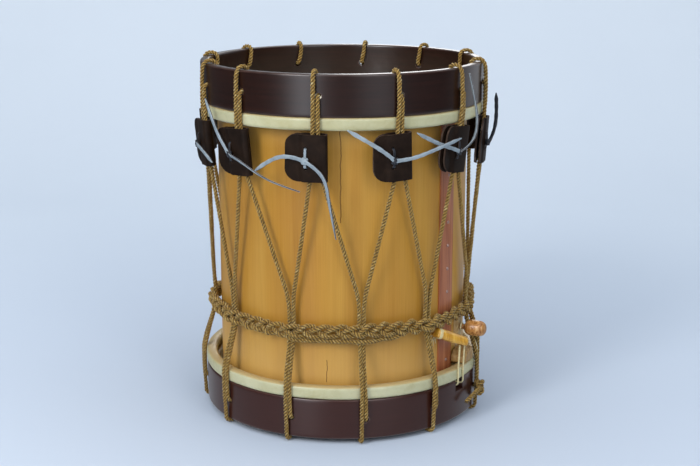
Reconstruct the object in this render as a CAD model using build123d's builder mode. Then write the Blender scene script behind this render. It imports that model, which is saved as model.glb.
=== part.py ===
"""Rope-tensioned snare drum: a bent-wood shell between two wooden hoops, laced with rope and tuned by tugs.

The axis is +Z, the origin is on the axis at the floor, and -Y is the front. Angles run from the front towards
+X. Millimetres.
"""

import os
from math import cos, pi, radians, sin, tan

from build123d import *

os.makedirs("parts", exist_ok=True)

# Driving dimensions
HOOP_DIAMETER = 356.0
HOOP_THICKNESS = 11.0
HOOP_HEIGHT = 50.0
HOOP_EDGE_RADIUS = 2.5
DRUM_HEIGHT = 441.0
SHELL_DIAMETER = 316.0
SHELL_THICKNESS = 5.0
HEAD_INSET = 44.0
SKIN = 0.9
FLESH_HOOP_HEIGHT = 15.0
FLESH_HOOP_WIDTH = 13.0
ROPE = 6.0
PAIR_OFFSET = 3.4
ROPE_HOLE = 9.0
GAP = 0.2
CONTACT_CLEARANCE = 0.4

# Angles of the rope's crossings, in degrees, in order round the drum. Bottom crossing n is left of top one n.
TOP_CROSSINGS = [-68.5, -42.5, -10.0, 21.2, 51.5, 76.0, 110.5, 140.5, 169.6, 200.2, 228.2, 258.0]
BOTTOM_CROSSINGS = [-87.5, -53.6, -21.6, 7.8, 38.2, 70.5, 98.0, 126.0, 155.0, 185.0, 214.0, 243.5]
COUNT = len(TOP_CROSSINGS)

# Levels
HOOP_BASE = ROPE + GAP
HOOP_TOP = HOOP_BASE + DRUM_HEIGHT
LOWER_HOOP_TOP = HOOP_BASE + HOOP_HEIGHT
UPPER_HOOP_BASE = HOOP_TOP - HOOP_HEIGHT
SHELL_BASE = HOOP_BASE + HEAD_INSET + SKIN
SHELL_TOP = HOOP_TOP - HEAD_INSET - SKIN
MIDDLE = (HOOP_BASE + HOOP_TOP) / 2
LOWER_HOLES = HOOP_BASE + HOOP_HEIGHT / 2
UPPER_HOLES = HOOP_TOP - HOOP_HEIGHT / 2

# Radii
HOOP_OUTSIDE = HOOP_DIAMETER / 2
HOOP_INSIDE = HOOP_OUTSIDE - HOOP_THICKNESS
SHELL_OUTSIDE = SHELL_DIAMETER / 2
SHELL_INSIDE = SHELL_OUTSIDE - SHELL_THICKNESS

# Where the rope runs: outside the hoops, and drawn in by the girdle
ROPE_OUT = HOOP_OUTSIDE + ROPE / 2 + CONTACT_CLEARANCE
ROPE_IN = HOOP_INSIDE - ROPE / 2 - GAP
GIRDLE_LEVEL = HOOP_BASE + 132.0
GIRDLE_ROPE_RADIUS = 165.0
VEE_FOOT = HOOP_BASE + 172.0
TUG_TOP = HOOP_BASE + 373.0
TUG_HEIGHT = 56.0
TUG_FOOT = TUG_TOP - TUG_HEIGHT
ROPE_BEND_LEVEL = TUG_TOP + 5.0

# Tugs: how far each one hangs to the side of its crossing, in order, and where it draws the legs together
TUG_SHIFTS = [3.0, 3.0, -0.5, 3.5, -6.0, -1.0, 2.0, -2.0, 0.0, 2.5, -1.5, -2.0]
PINCH_RISES = [12.0, 6.5, 14.0, 9.0, 5.0, 5.0, 12.0, 12.0, 12.0, 12.0, 12.0, 12.0]
PINCH_OFFSET = 4.4
LEATHER = 2.5
TUG_FLAP = 35.0
FOLD_CENTRE = 9.0
LACE_OFFSET = 10.4
LACE_HOLE = 5.0
LACE_PITCH = 23.0
LACE = 3.2
TAIL = 4.0

# Snare
SNARE_ANGLE = 55.4
SNARE_SPREAD = 6.0
GUT = 2.2
GATE_WIDTH = 18.0
GATE_DEPTH = 15.0


def frame_at(angle):
    """Plane on the axis whose X is tangent to the drum, whose Y is up and whose Z points out at an angle."""
    a = radians(angle)
    return Plane(origin=(0, 0, 0), x_dir=(cos(a), sin(a), 0), z_dir=(sin(a), -cos(a), 0))


def place(angle, across, radius, level):
    """Point beside the radius at an angle: across it to the right, out along it, and up."""
    a = radians(angle)
    return Vector(radius * sin(a) + across * cos(a), -radius * cos(a) + across * sin(a), level)


def round_to(points, radii, diameter):
    """Cord of round section along straight runs joined by tangent arcs."""
    with BuildPart() as cord:
        with BuildLine() as route:
            FilletPolyline(*points, radius=radii)
        with BuildSketch(Plane(route.wire() @ 0, z_dir=route.wire() % 0)):
            Circle(diameter / 2)
        sweep(path=route.wire())
    return cord.part


def bar_between(start, end, diameter):
    """Straight cord from one point to another."""
    with BuildPart() as bar:
        with BuildSketch(Plane(start, z_dir=end - start)):
            Circle(diameter / 2)
        extrude(amount=(end - start).length)
    return bar.part


def ring(inside, outside, base, top, edge=0.0):
    """Turned ring with rounded edges."""
    with BuildPart() as turned:
        with BuildSketch(Plane.XZ):
            with Locations(((inside + outside) / 2, (base + top) / 2)):
                if edge:
                    RectangleRounded(outside - inside, top - base, edge)
                else:
                    Rectangle(outside - inside, top - base)
        revolve(axis=Axis.Z)
    return turned.part


def rope_radius(level):
    """How far out the upper rope legs are at a level, between the hoop and the girdle."""
    share = (ROPE_BEND_LEVEL - level) / (ROPE_BEND_LEVEL - GIRDLE_LEVEL)
    return ROPE_OUT + (GIRDLE_ROPE_RADIUS - ROPE_OUT) * share


def write(node, name):
    node.part.label = name
    export_step(node.part, f"parts/{name}.step")


# Shell, with its vent hole and the hole for the snare peg
PEG_ANGLE = 65.0
PEG_LEVEL = HOOP_BASE + 109.0
PEG_SHAFT = 4.0
PEG_RUNNING_FIT = 0.05
VENT = 10.0
SHELL_EDGE_RADIUS = 1.0

with BuildPart() as shell:
    add(ring(SHELL_INSIDE, SHELL_OUTSIDE, SHELL_BASE, SHELL_TOP, edge=SHELL_EDGE_RADIUS))
    with BuildSketch(frame_at(180)):
        with Locations((0, MIDDLE)):
            Circle(VENT / 2)
    extrude(amount=SHELL_OUTSIDE + SHELL_THICKNESS, mode=Mode.SUBTRACT)
    with BuildSketch(frame_at(PEG_ANGLE)):
        with Locations((0, PEG_LEVEL)):
            Circle(PEG_SHAFT + PEG_RUNNING_FIT)
    extrude(amount=SHELL_OUTSIDE + SHELL_THICKNESS, mode=Mode.SUBTRACT)
write(shell, "shell")

# Reinforcing rings glued inside the shell's ends
RING_HEIGHT = 22.0
RING_THICKNESS = 6.0
RING_MARGIN = 1.0
RING_BASES = {"lower": SHELL_BASE + RING_MARGIN, "upper": SHELL_TOP - RING_HEIGHT - RING_MARGIN}

for name, base in RING_BASES.items():
    with BuildPart() as reinforcing_ring:
        add(ring(SHELL_INSIDE - RING_THICKNESS, SHELL_INSIDE, base, base + RING_HEIGHT))
    write(reinforcing_ring, f"reinforcing_ring_{name}")

# Strip over the shell's joint, and its tacks
STRIP_START = 48.2
STRIP_END = 58.6
STRIP_THICKNESS = 2.0
STRIP_MARGIN = 3.0
TACK_ANGLE = 54.0
TACK_PITCH = 29.5
TACK_HEAD = 2.2
TACK_DOME = 1.2
TACK_TAPER = 35.0
TACKS = 11

with BuildPart() as seam_strip:
    with BuildSketch(Plane.XZ.rotated((0, 0, STRIP_START - 90))):
        with Locations((SHELL_OUTSIDE + STRIP_THICKNESS / 2, MIDDLE)):
            Rectangle(STRIP_THICKNESS, SHELL_TOP - SHELL_BASE - 2 * STRIP_MARGIN)
    revolve(axis=Axis.Z, revolution_arc=STRIP_END - STRIP_START)
write(seam_strip, "seam_strip")

with BuildPart() as seam_tacks:
    for level in [MIDDLE + TACK_PITCH * (n - (TACKS - 1) / 2) for n in range(TACKS)]:
        with BuildSketch(frame_at(TACK_ANGLE).offset(SHELL_OUTSIDE + STRIP_THICKNESS)):
            with Locations((0, level)):
                Circle(TACK_HEAD)
        extrude(amount=TACK_DOME, taper=TACK_TAPER)
write(seam_tacks, "seam_tacks")

# Counter hoops, with a rope hole beside each crossing and two snare gates in the lower one
with BuildPart() as top_counter_hoop:
    add(ring(HOOP_INSIDE, HOOP_OUTSIDE, UPPER_HOOP_BASE, HOOP_TOP, edge=HOOP_EDGE_RADIUS))
    for angle in TOP_CROSSINGS:
        with BuildSketch(frame_at(angle)):
            with Locations((PAIR_OFFSET, UPPER_HOLES)):
                Circle(ROPE_HOLE / 2)
        extrude(amount=HOOP_DIAMETER, mode=Mode.SUBTRACT)
write(top_counter_hoop, "top_counter_hoop")

with BuildPart() as bottom_counter_hoop:
    add(ring(HOOP_INSIDE, HOOP_OUTSIDE, HOOP_BASE, LOWER_HOOP_TOP, edge=HOOP_EDGE_RADIUS))
    for angle in BOTTOM_CROSSINGS:
        with BuildSketch(frame_at(angle)):
            with Locations((PAIR_OFFSET, LOWER_HOLES)):
                Circle(ROPE_HOLE / 2)
        extrude(amount=HOOP_DIAMETER, mode=Mode.SUBTRACT)
    with BuildSketch(frame_at(SNARE_ANGLE)):
        with Locations((0, LOWER_HOOP_TOP)):
            Rectangle(GATE_WIDTH, 2 * GATE_DEPTH)
    extrude(amount=HOOP_DIAMETER, both=True, mode=Mode.SUBTRACT)
write(bottom_counter_hoop, "bottom_counter_hoop")

# Flesh hoops, and the heads that are lapped round them: up over the shell's edge, out, round and down inside
FLESH_PLAY = 0.3
FLESH_EDGE_RADIUS = 3.0
FLESH_OUTSIDE = HOOP_OUTSIDE - SKIN
FLESH_INSIDE = HOOP_OUTSIDE - FLESH_HOOP_WIDTH + SKIN
LAP_END = FLESH_HOOP_HEIGHT * 0.55
SKIN_PAST_SHELL = 1.5
COLLAR = 1.0
ROUNDING = 2.5

for name, face, turn in (("top", UPPER_HOOP_BASE, -1), ("bottom", LOWER_HOOP_TOP, 1)):
    near = face + turn * SKIN
    far = face + turn * (FLESH_HOOP_HEIGHT - SKIN)
    lap_edge = face + turn * FLESH_HOOP_HEIGHT
    lap_end = face + turn * LAP_END
    with BuildPart() as flesh_hoop:
        add(
            ring(
                FLESH_INSIDE + FLESH_PLAY,
                FLESH_OUTSIDE - FLESH_PLAY,
                min(near, far) + FLESH_PLAY,
                max(near, far) - FLESH_PLAY,
                edge=FLESH_EDGE_RADIUS,
            )
        )
    write(flesh_hoop, f"{name}_flesh_hoop")

    plane_level = face - turn * (HOOP_HEIGHT - HEAD_INSET)
    skin_inside = plane_level + turn * SKIN
    with BuildPart() as head:
        with BuildSketch(Plane.XZ):
            with BuildLine():
                Polyline(
                    (0, plane_level),
                    (SHELL_OUTSIDE + SKIN_PAST_SHELL, plane_level),
                    (HOOP_INSIDE - COLLAR, face),
                    (HOOP_OUTSIDE - ROUNDING, face),
                    (HOOP_OUTSIDE, face + turn * ROUNDING),
                    (HOOP_OUTSIDE, lap_edge - turn * ROUNDING),
                    (HOOP_OUTSIDE - ROUNDING, lap_edge),
                    (FLESH_INSIDE - SKIN + ROUNDING, lap_edge),
                    (FLESH_INSIDE - SKIN, lap_edge - turn * ROUNDING),
                    (FLESH_INSIDE - SKIN, lap_end),
                    (FLESH_INSIDE, lap_end),
                    (FLESH_INSIDE, far - turn * (ROUNDING - SKIN)),
                    (FLESH_INSIDE + ROUNDING - SKIN, far),
                    (FLESH_OUTSIDE - ROUNDING + SKIN, far),
                    (FLESH_OUTSIDE, far - turn * (ROUNDING - SKIN)),
                    (FLESH_OUTSIDE, near + turn * (ROUNDING - SKIN)),
                    (FLESH_OUTSIDE - ROUNDING + SKIN, near),
                    (HOOP_INSIDE - SKIN_PAST_SHELL, near),
                    (SHELL_OUTSIDE + COLLAR, skin_inside),
                    (0, skin_inside),
                    close=True,
                )
            make_face()
        revolve(axis=Axis.Z)
    write(head, f"{name}_head")

# Tension rope: one length, made as its loops round the hoops and the legs between them, which draw together
# into pairs again at the girdle. Left legs and left strands come first in every pair.
STUB = 4.0
RIM_ARC = 5.5
HOLE_ARC = 4.5
BEND_ARC = 20.0
GIRDLE_ARC = 25.0
PINCH_ARC = 9.0
RIM_LEVEL = HOOP_TOP + ROPE / 2 + GAP
EDGE_LEVEL = HOOP_BASE - ROPE / 2 - GAP
FLESH_EDGE = LOWER_HOOP_TOP + FLESH_HOOP_HEIGHT


def pinch(n, side):
    """Where the tug of a crossing draws its left (-1) or right (1) leg in."""
    level = TUG_FOOT + PINCH_RISES[n]
    share = (ROPE_BEND_LEVEL - level) / (ROPE_BEND_LEVEL - TUG_FOOT)
    across = TUG_SHIFTS[n] * share + side * PINCH_OFFSET
    return place(TOP_CROSSINGS[n], across, rope_radius(level), level)


def vee_foot(n, side):
    """Lower end of a top crossing's left (-1) or right (1) leg, at the bottom crossing that it runs to."""
    bottom = BOTTOM_CROSSINGS[n if side < 0 else (n + 1) % COUNT]
    return place(bottom, -side * PAIR_OFFSET, rope_radius(VEE_FOOT), VEE_FOOT)


def leg_direction(n, side):
    """Unit vector down a leg."""
    return (vee_foot(n, side) - pinch(n, side)).normalized()


with BuildPart() as rope_top_loops:
    for n, angle in enumerate(TOP_CROSSINGS):
        points = [
            pinch(n, -1) + leg_direction(n, -1) * STUB,
            pinch(n, -1),
            place(angle, -PAIR_OFFSET, ROPE_OUT, ROPE_BEND_LEVEL),
            place(angle, -PAIR_OFFSET, ROPE_OUT, RIM_LEVEL),
            place(angle, -PAIR_OFFSET, ROPE_IN, RIM_LEVEL),
            place(angle, PAIR_OFFSET, ROPE_IN, UPPER_HOLES),
            place(angle, PAIR_OFFSET, ROPE_OUT, UPPER_HOLES),
            place(angle, PAIR_OFFSET, ROPE_OUT, ROPE_BEND_LEVEL),
            pinch(n, 1),
            pinch(n, 1) + leg_direction(n, 1) * STUB,
        ]
        radii = [PINCH_ARC, BEND_ARC, RIM_ARC, RIM_ARC, HOLE_ARC, HOLE_ARC, BEND_ARC, PINCH_ARC]
        add(round_to(points, radii, ROPE))
write(rope_top_loops, "rope_top_loops")

with BuildPart() as rope_bottom_loops:
    for angle in BOTTOM_CROSSINGS:
        points = [
            place(angle, -PAIR_OFFSET, ROPE_OUT, LOWER_HOOP_TOP),
            place(angle, -PAIR_OFFSET, ROPE_OUT, EDGE_LEVEL),
            place(angle, -PAIR_OFFSET, ROPE_IN, EDGE_LEVEL),
            place(angle, PAIR_OFFSET, ROPE_IN, LOWER_HOLES),
            place(angle, PAIR_OFFSET, ROPE_OUT, LOWER_HOLES),
            place(angle, PAIR_OFFSET, ROPE_OUT, LOWER_HOOP_TOP),
        ]
        add(round_to(points, [RIM_ARC, RIM_ARC, HOLE_ARC, HOLE_ARC], ROPE))
write(rope_bottom_loops, "rope_bottom_loops")

with BuildPart() as rope_legs:
    for n in range(COUNT):
        for side in (-1, 1):
            bottom = BOTTOM_CROSSINGS[n if side < 0 else (n + 1) % COUNT]
            points = [
                pinch(n, side) + leg_direction(n, side) * STUB,
                vee_foot(n, side),
                place(bottom, -side * PAIR_OFFSET, GIRDLE_ROPE_RADIUS, GIRDLE_LEVEL),
                place(bottom, -side * PAIR_OFFSET, ROPE_OUT, FLESH_EDGE),
                place(bottom, -side * PAIR_OFFSET, ROPE_OUT, LOWER_HOOP_TOP),
            ]
            add(round_to(points, [PINCH_ARC, GIRDLE_ARC, BEND_ARC], ROPE))
write(rope_legs, "rope_legs")

# Girdle plaited from the leftover rope, gripping every pair
GIRDLE_HEIGHT = 20.0
GIRDLE_EDGE_RADIUS = 4.0
GIRDLE_INSIDE = SHELL_OUTSIDE + 3.7
GIRDLE_OUTSIDE = SHELL_OUTSIDE + 14.1

with BuildPart() as girdle:
    base = GIRDLE_LEVEL - GIRDLE_HEIGHT / 2
    add(ring(GIRDLE_INSIDE, GIRDLE_OUTSIDE, base, base + GIRDLE_HEIGHT, edge=GIRDLE_EDGE_RADIUS))
write(girdle, "girdle")

# Knot of the rope's end, on the outside of the lower hoop
KNOT = 8.0
KNOT_ANGLE = BOTTOM_CROSSINGS[5]
KNOT_LEVEL = HOOP_BASE + 24.3
RUN_SHARE = 0.45
KNOT_RADIUS = HOOP_OUTSIDE + KNOT + 0.6

with BuildPart() as rope_end_knot:
    with Locations(place(KNOT_ANGLE, 0, KNOT_RADIUS, KNOT_LEVEL)):
        Sphere(KNOT)
write(rope_end_knot, "rope_end_knot")


def loose_radii(points):
    """Radius for each corner of a loose cord, as large as its two runs allow."""
    radii = []
    for before, corner, after in zip(points, points[1:], points[2:]):
        turn = (corner - before).get_angle(after - corner)
        shorter = min((corner - before).length, (after - corner).length)
        radii.append(RUN_SHARE * shorter / tan(radians(turn / 2)))
    return radii


def loose_cord(points, diameter, name):
    """Cord that lies free, with its length and radii printed."""
    radii = loose_radii(points)
    cord = round_to(points, radii, diameter)
    length = cord.volume / (pi * diameter**2 / 4)
    print(name, "length", round(length, 1), "radii", [round(r, 1) for r in radii])
    return cord


# Rope's free end, from the knot along the hoop: (angle, radius, level)
ROPE_END = [(67.5, 189.5, 32.0), (62.0, 189.0, 31.5), (56.5, 186.5, 25.5)]

with BuildPart() as rope_end:
    points = [place(KNOT_ANGLE, 0, KNOT_RADIUS, KNOT_LEVEL)]
    points += [place(angle, 0, radius, level) for angle, radius, level in ROPE_END]
    add(loose_cord(points, ROPE, "rope_end"))
write(rope_end, "rope_end")


def tug_frame(n):
    """Plane of a tug: its X lies across the legs, its Y up along them and its Z outward."""
    foot = place(TOP_CROSSINGS[n], TUG_SHIFTS[n], rope_radius(TUG_FOOT), TUG_FOOT)
    bend = place(TOP_CROSSINGS[n], 0, ROPE_OUT, ROPE_BEND_LEVEL)
    up = (bend - foot).normalized()
    a = radians(TOP_CROSSINGS[n])
    outward = Vector(cos(a), sin(a), 0).cross(up).normalized()
    middle = foot + up * ((TUG_HEIGHT / 2) / up.Z)
    return Plane(origin=middle, x_dir=up.cross(outward), z_dir=outward)


# Tugs: a strip of leather folded round the pair of legs, its fold on the right, its free corners rounded
TUG_PLAY = 0.6
FOLD_RADIUS = ROPE / 2 + TUG_PLAY + LEATHER / 2
FLAP_GAP = 0.6 + LEATHER / 2
HALF = TUG_HEIGHT / 2
SQUEEZE_START = -19.0
SQUEEZE_END = -13.5
SQUEEZE_ARC = 4.0
FOLD_ARC = FOLD_RADIUS - 0.01
FLAP_UNCUT = TUG_FLAP + 1.0
UPPER_ARC = 11.0
LOWER_ARC = 16.0
SIDE_ARC = 14.0
SQUARE_ARC = 1.0
LOWER_CORNER = (-17.0, -HALF)
SIDE_CORNER = (-TUG_FLAP, -10.0)

with BuildPart() as tug_blank:
    with BuildSketch(Plane.XZ.offset(-HALF)):
        with BuildLine():
            FilletPolyline(
                (-FLAP_UNCUT, FLAP_GAP),
                (SQUEEZE_START, FLAP_GAP),
                (SQUEEZE_END, FOLD_RADIUS),
                (FOLD_CENTRE + FOLD_RADIUS, FOLD_RADIUS),
                (FOLD_CENTRE + FOLD_RADIUS, -FOLD_RADIUS),
                (SQUEEZE_END, -FOLD_RADIUS),
                (SQUEEZE_START, -FLAP_GAP),
                (-FLAP_UNCUT, -FLAP_GAP),
                radius=[SQUEEZE_ARC, SQUEEZE_ARC, FOLD_ARC, FOLD_ARC, SQUEEZE_ARC, SQUEEZE_ARC],
            )
        trace(line_width=LEATHER)
    extrude(amount=TUG_HEIGHT)
    with BuildSketch():
        with BuildLine():
            FilletPolyline(
                (-TUG_FLAP, HALF),
                (TUG_FLAP, HALF),
                (TUG_FLAP, -HALF),
                LOWER_CORNER,
                SIDE_CORNER,
                radius=[UPPER_ARC, SQUARE_ARC, SQUARE_ARC, LOWER_ARC, SIDE_ARC],
                close=True,
            )
        make_face()
    extrude(amount=TUG_FLAP, both=True, mode=Mode.INTERSECT)
    with BuildSketch():
        with Locations((-LACE_OFFSET, LACE_PITCH / 2), (-LACE_OFFSET, -LACE_PITCH / 2)):
            Circle(LACE_HOLE / 2)
    extrude(amount=TUG_FLAP, both=True, mode=Mode.SUBTRACT)

for n in range(COUNT):
    with BuildPart() as tug:
        with Locations(tug_frame(n)):
            add(tug_blank.part)
    write(tug, f"tug_{n + 1:02d}")

# Laces: a thong through a tug's two holes, knotted in front
LACE_REACH = FOLD_RADIUS + LEATHER / 2 + LACE / 2 + 0.3
LACE_KNOT = 3.6
LACE_ARC = 2.4
KNOT_REACH = LACE_REACH + 2.2
KNOT_DROP = 2.0


def lace_knot(n):
    """Centre of a lace's knot, from which its tails set out."""
    frame = tug_frame(n)
    return frame.origin - frame.x_dir * LACE_OFFSET - frame.y_dir * KNOT_DROP + frame.z_dir * KNOT_REACH


with BuildPart() as lace_loop:
    with BuildLine(Plane.YZ.offset(-LACE_OFFSET)) as route:
        rise = LACE_PITCH / 2
        corners = [(rise, LACE_REACH), (rise, -LACE_REACH), (-rise, -LACE_REACH), (-rise, LACE_REACH)]
        FilletPolyline(corners, radius=LACE_ARC, close=True)
    with BuildSketch(route.wire() ^ 0):
        Circle(LACE / 2)
    sweep(path=route.wire())
    with Locations((-LACE_OFFSET, -KNOT_DROP, KNOT_REACH)):
        Sphere(LACE_KNOT)

for n in range(COUNT):
    with BuildPart() as lace:
        with Locations(tug_frame(n)):
            add(lace_loop.part)
    write(lace, f"lace_{n + 1:02d}")

# Tails of the laces, stiff thongs that stand off the knots: (angle from the crossing, radius, level)
ACROSS_LEFT = [(-8.0, 191.8, 355.5), (-15.5, 191.5, 350.0), (-22.5, 189.5, 333.0)]
FALLING = [(0.8, 193.5, 342.5), (4.4, 193.5, 327.0), (5.4, 189.5, 299.0), (7.7, 187.0, 257.0)]
UP_LEFT = [(-4.0, 190.8, 356.0), (-6.8, 191.5, 366.0), (-12.0, 189.5, 383.5), (-18.8, 187.5, 408.0)]
FAR_RIGHT = [(4.0, 193.5, 343.5), (12.0, 197.0, 332.0), (20.0, 199.5, 322.0), (28.4, 199.5, 315.0)]
ROUND_LEFT = [(2.0, 193.5, 351.0), (9.5, 196.0, 347.0), (16.0, 195.5, 335.5)]
STRAIGHT_LEFT = [(-5.8, 191.8, 357.5), (-11.5, 192.5, 370.0), (-19.5, 190.5, 385.5)]
OVER_RIGHT = [(0.2, 192.0, 349.0), (4.6, 195.5, 351.5), (11.5, 200.0, 359.5), (22.5, 201.5, 369.0)]
CROSSED_LEFT = [(-7.4, 191.5, 354.5), (-16.3, 193.0, 364.0), (-24.6, 190.0, 379.0)]
OVER_HOOP = [(0.4, 194.5, 356.0), (3.8, 196.5, 375.0), (4.4, 192.5, 405.0), (1.4, 188.5, 441.0)]
STANDING = [(-1.4, 194.5, 359.0), (-0.4, 197.5, 383.0), (0.0, 195.5, 409.0)]
DROOP_LEFT = [(-8.6, 193.5, 345.5), (-13.0, 192.5, 330.0), (-13.8, 189.0, 299.0)]
DROOP_RIGHT = [(2.6, 193.5, 352.5), (9.0, 194.0, 344.5), (12.6, 190.5, 325.0)]
SHORT_LEFT = [(-6.2, 191.2, 355.0), (-9.6, 192.0, 362.5), (-13.2, 190.5, 375.0)]
SHORT_DOWN = [(-0.6, 193.2, 336.5), (0.2, 191.5, 316.0), (-2.0, 188.0, 282.0)]
TAILS = [
    [ROUND_LEFT],
    [UP_LEFT, FAR_RIGHT],
    [ACROSS_LEFT, FALLING],
    [STRAIGHT_LEFT, OVER_RIGHT],
    [CROSSED_LEFT, OVER_HOOP],
    [STANDING],
    [DROOP_RIGHT],
    [SHORT_LEFT, SHORT_DOWN],
    [DROOP_LEFT, DROOP_RIGHT],
    [SHORT_LEFT, SHORT_DOWN],
    [DROOP_LEFT, SHORT_DOWN],
    [DROOP_LEFT],
]

for n, tails in enumerate(TAILS):
    with BuildPart() as lace_tails:
        for tail in tails:
            points = [lace_knot(n)]
            points += [place(TOP_CROSSINGS[n] + turn, 0, radius, level) for turn, radius, level in tail]
            add(loose_cord(points, TAIL, f"lace_tails_{n + 1:02d}"))
    write(lace_tails, f"lace_tails_{n + 1:02d}")

# Snare side: two gut snares under the lower head, from a toggle by the seam to an anchor opposite
GUT_LEVEL = HOOP_BASE + 42.8
GUT_ARC = 5.0
GUT_OUT = HOOP_OUTSIDE + 1.6
TOGGLE_ANGLE = 50.0
TOGGLE_START = place(43.0, 0, 167.0, HOOP_BASE + 114.0)
TOGGLE_END = place(57.0, 0, 184.0, HOOP_BASE + 100.0)
TOGGLE_WIDTH = 13.0
TOGGLE_BELOW = 2.5
TOGGLE_CHAMFER = 1.5
ANCHOR_LEVEL = HOOP_BASE + 84.0
ANCHOR_RADIUS = HOOP_OUTSIDE + 5.0
ANCHOR_LENGTH = 30.0
ANCHOR_DIAMETER = 9.0
ANCHOR_CHAMFER = 1.2
GUT_LEAN_ARC = 40.0
GUT_LEAN = 1.5
GUT_END = HOOP_BASE + 96.0

with BuildPart() as snare_gut:
    for offset in (-SNARE_SPREAD, SNARE_SPREAD):
        far = SNARE_ANGLE + 180
        points = [
            place(SNARE_ANGLE, offset, GUT_OUT + GUT_LEAN, GUT_END),
            place(SNARE_ANGLE, offset, GUT_OUT, FLESH_EDGE),
            place(SNARE_ANGLE, offset, GUT_OUT, GUT_LEVEL),
            place(far, -offset, GUT_OUT, GUT_LEVEL),
            place(far, -offset, GUT_OUT, FLESH_EDGE),
            place(far, -offset, ANCHOR_RADIUS, ANCHOR_LEVEL),
        ]
        add(round_to(points, [GUT_LEAN_ARC, GUT_ARC, GUT_ARC, GUT_LEAN_ARC], GUT))
write(snare_gut, "snare_gut")

with BuildPart() as snare_anchor:
    left = place(SNARE_ANGLE + 180, -ANCHOR_LENGTH / 2, ANCHOR_RADIUS, ANCHOR_LEVEL)
    right = place(SNARE_ANGLE + 180, ANCHOR_LENGTH / 2, ANCHOR_RADIUS, ANCHOR_LEVEL)
    add(bar_between(left, right, ANCHOR_DIAMETER))
    chamfer(snare_anchor.edges().filter_by(GeomType.CIRCLE), ANCHOR_CHAMFER)
write(snare_anchor, "snare_anchor")

# Toggle: a half-round wooden bar, its flat side down, drawing the gut up
along = (TOGGLE_END - TOGGLE_START).normalized()
toggle_out = place(TOGGLE_ANGLE, 0, 1, 0)
toggle_plane = Plane(TOGGLE_START, x_dir=along.cross(toggle_out), z_dir=along)

with BuildPart() as snare_toggle:
    with BuildSketch(toggle_plane):
        Circle(TOGGLE_WIDTH / 2)
        with Locations((0, -TOGGLE_WIDTH / 2 - TOGGLE_BELOW)):
            Rectangle(TOGGLE_WIDTH, TOGGLE_WIDTH, mode=Mode.SUBTRACT)
    extrude(amount=(TOGGLE_END - TOGGLE_START).length)
    for end in (0, -1):
        chamfer(snare_toggle.faces().sort_by(Axis(TOGGLE_START, along))[end].edges(), TOGGLE_CHAMFER)
write(snare_toggle, "snare_toggle")

# Rest block, between the flesh hoop and the gut
REST_ANGLE = 64.0
REST_FOOT = FLESH_EDGE + SKIN + GAP
REST_TOP = HOOP_BASE + 84.0
REST_DEPTH = 19.4
REST_STANDOFF = 2.4
REST_ARC = 3.0
REST_CHAMFER = 2.0
REST_OUTLINE = [
    (-16.0, REST_FOOT),
    (-16.0, REST_FOOT + 8.0),
    (-10.0, REST_TOP - 3.0),
    (9.0, REST_TOP),
    (11.0, REST_FOOT),
]
rest_axis = Axis((0, 0, 0), tuple(place(REST_ANGLE, 0, 1, 0)))

with BuildPart() as snare_rest:
    with BuildSketch(frame_at(REST_ANGLE).offset(SHELL_OUTSIDE + REST_STANDOFF)):
        with BuildLine():
            FilletPolyline(REST_OUTLINE, radius=REST_ARC, close=True)
        make_face()
    extrude(amount=REST_DEPTH)
    chamfer(snare_rest.faces().sort_by(rest_axis)[-1].edges(), REST_CHAMFER)
write(snare_rest, "snare_rest")

# Tuning peg, radial, turning in the shell and in a pale wooden plate
PLATE_INSIDE = SHELL_OUTSIDE + GAP
PLATE_THICKNESS = 6.0
PLATE_WIDTH = 13.0
PLATE_HEIGHT = 24.0
PLATE_CORNER = 3.0
PLATE_FACE = PLATE_INSIDE + PLATE_THICKNESS
NECK = 3.2
SHOULDER = 0.8
TIP_CHAMFER = 1.0
INNER_TIP = SHELL_INSIDE - 9.0
HEAD_START = 170.5
HEAD_LENGTH = 28.5
HEAD_WIDTH = 10.0
HEAD_END = HEAD_START + HEAD_LENGTH
BELLY = HEAD_START + 0.55 * HEAD_LENGTH
CLEFT_WIDTH = 1.4
CLEFT_DEPTH = 9.0
LASHING_RADIUS = PLATE_FACE + 2.4
LASHING_PLAY = 0.35

peg_centre = place(PEG_ANGLE, 0, 0, PEG_LEVEL)
peg_outward = place(PEG_ANGLE, 0, 1, 0)
peg_across = place(PEG_ANGLE, 1, 0, 0)

with BuildPart() as peg_plate:
    with BuildSketch(frame_at(PEG_ANGLE).offset(SHELL_OUTSIDE - 1)):
        with Locations((0, PEG_LEVEL)):
            RectangleRounded(PLATE_WIDTH, PLATE_HEIGHT, PLATE_CORNER)
    extrude(amount=PLATE_THICKNESS + 1)
    Cylinder(PLATE_INSIDE, HOOP_TOP, align=(Align.CENTER, Align.CENTER, Align.MIN), mode=Mode.SUBTRACT)
    with BuildSketch(frame_at(PEG_ANGLE)):
        with Locations((0, PEG_LEVEL)):
            Circle(PEG_SHAFT + PEG_RUNNING_FIT)
    extrude(amount=HOOP_DIAMETER, mode=Mode.SUBTRACT)
write(peg_plate, "peg_plate")

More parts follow.
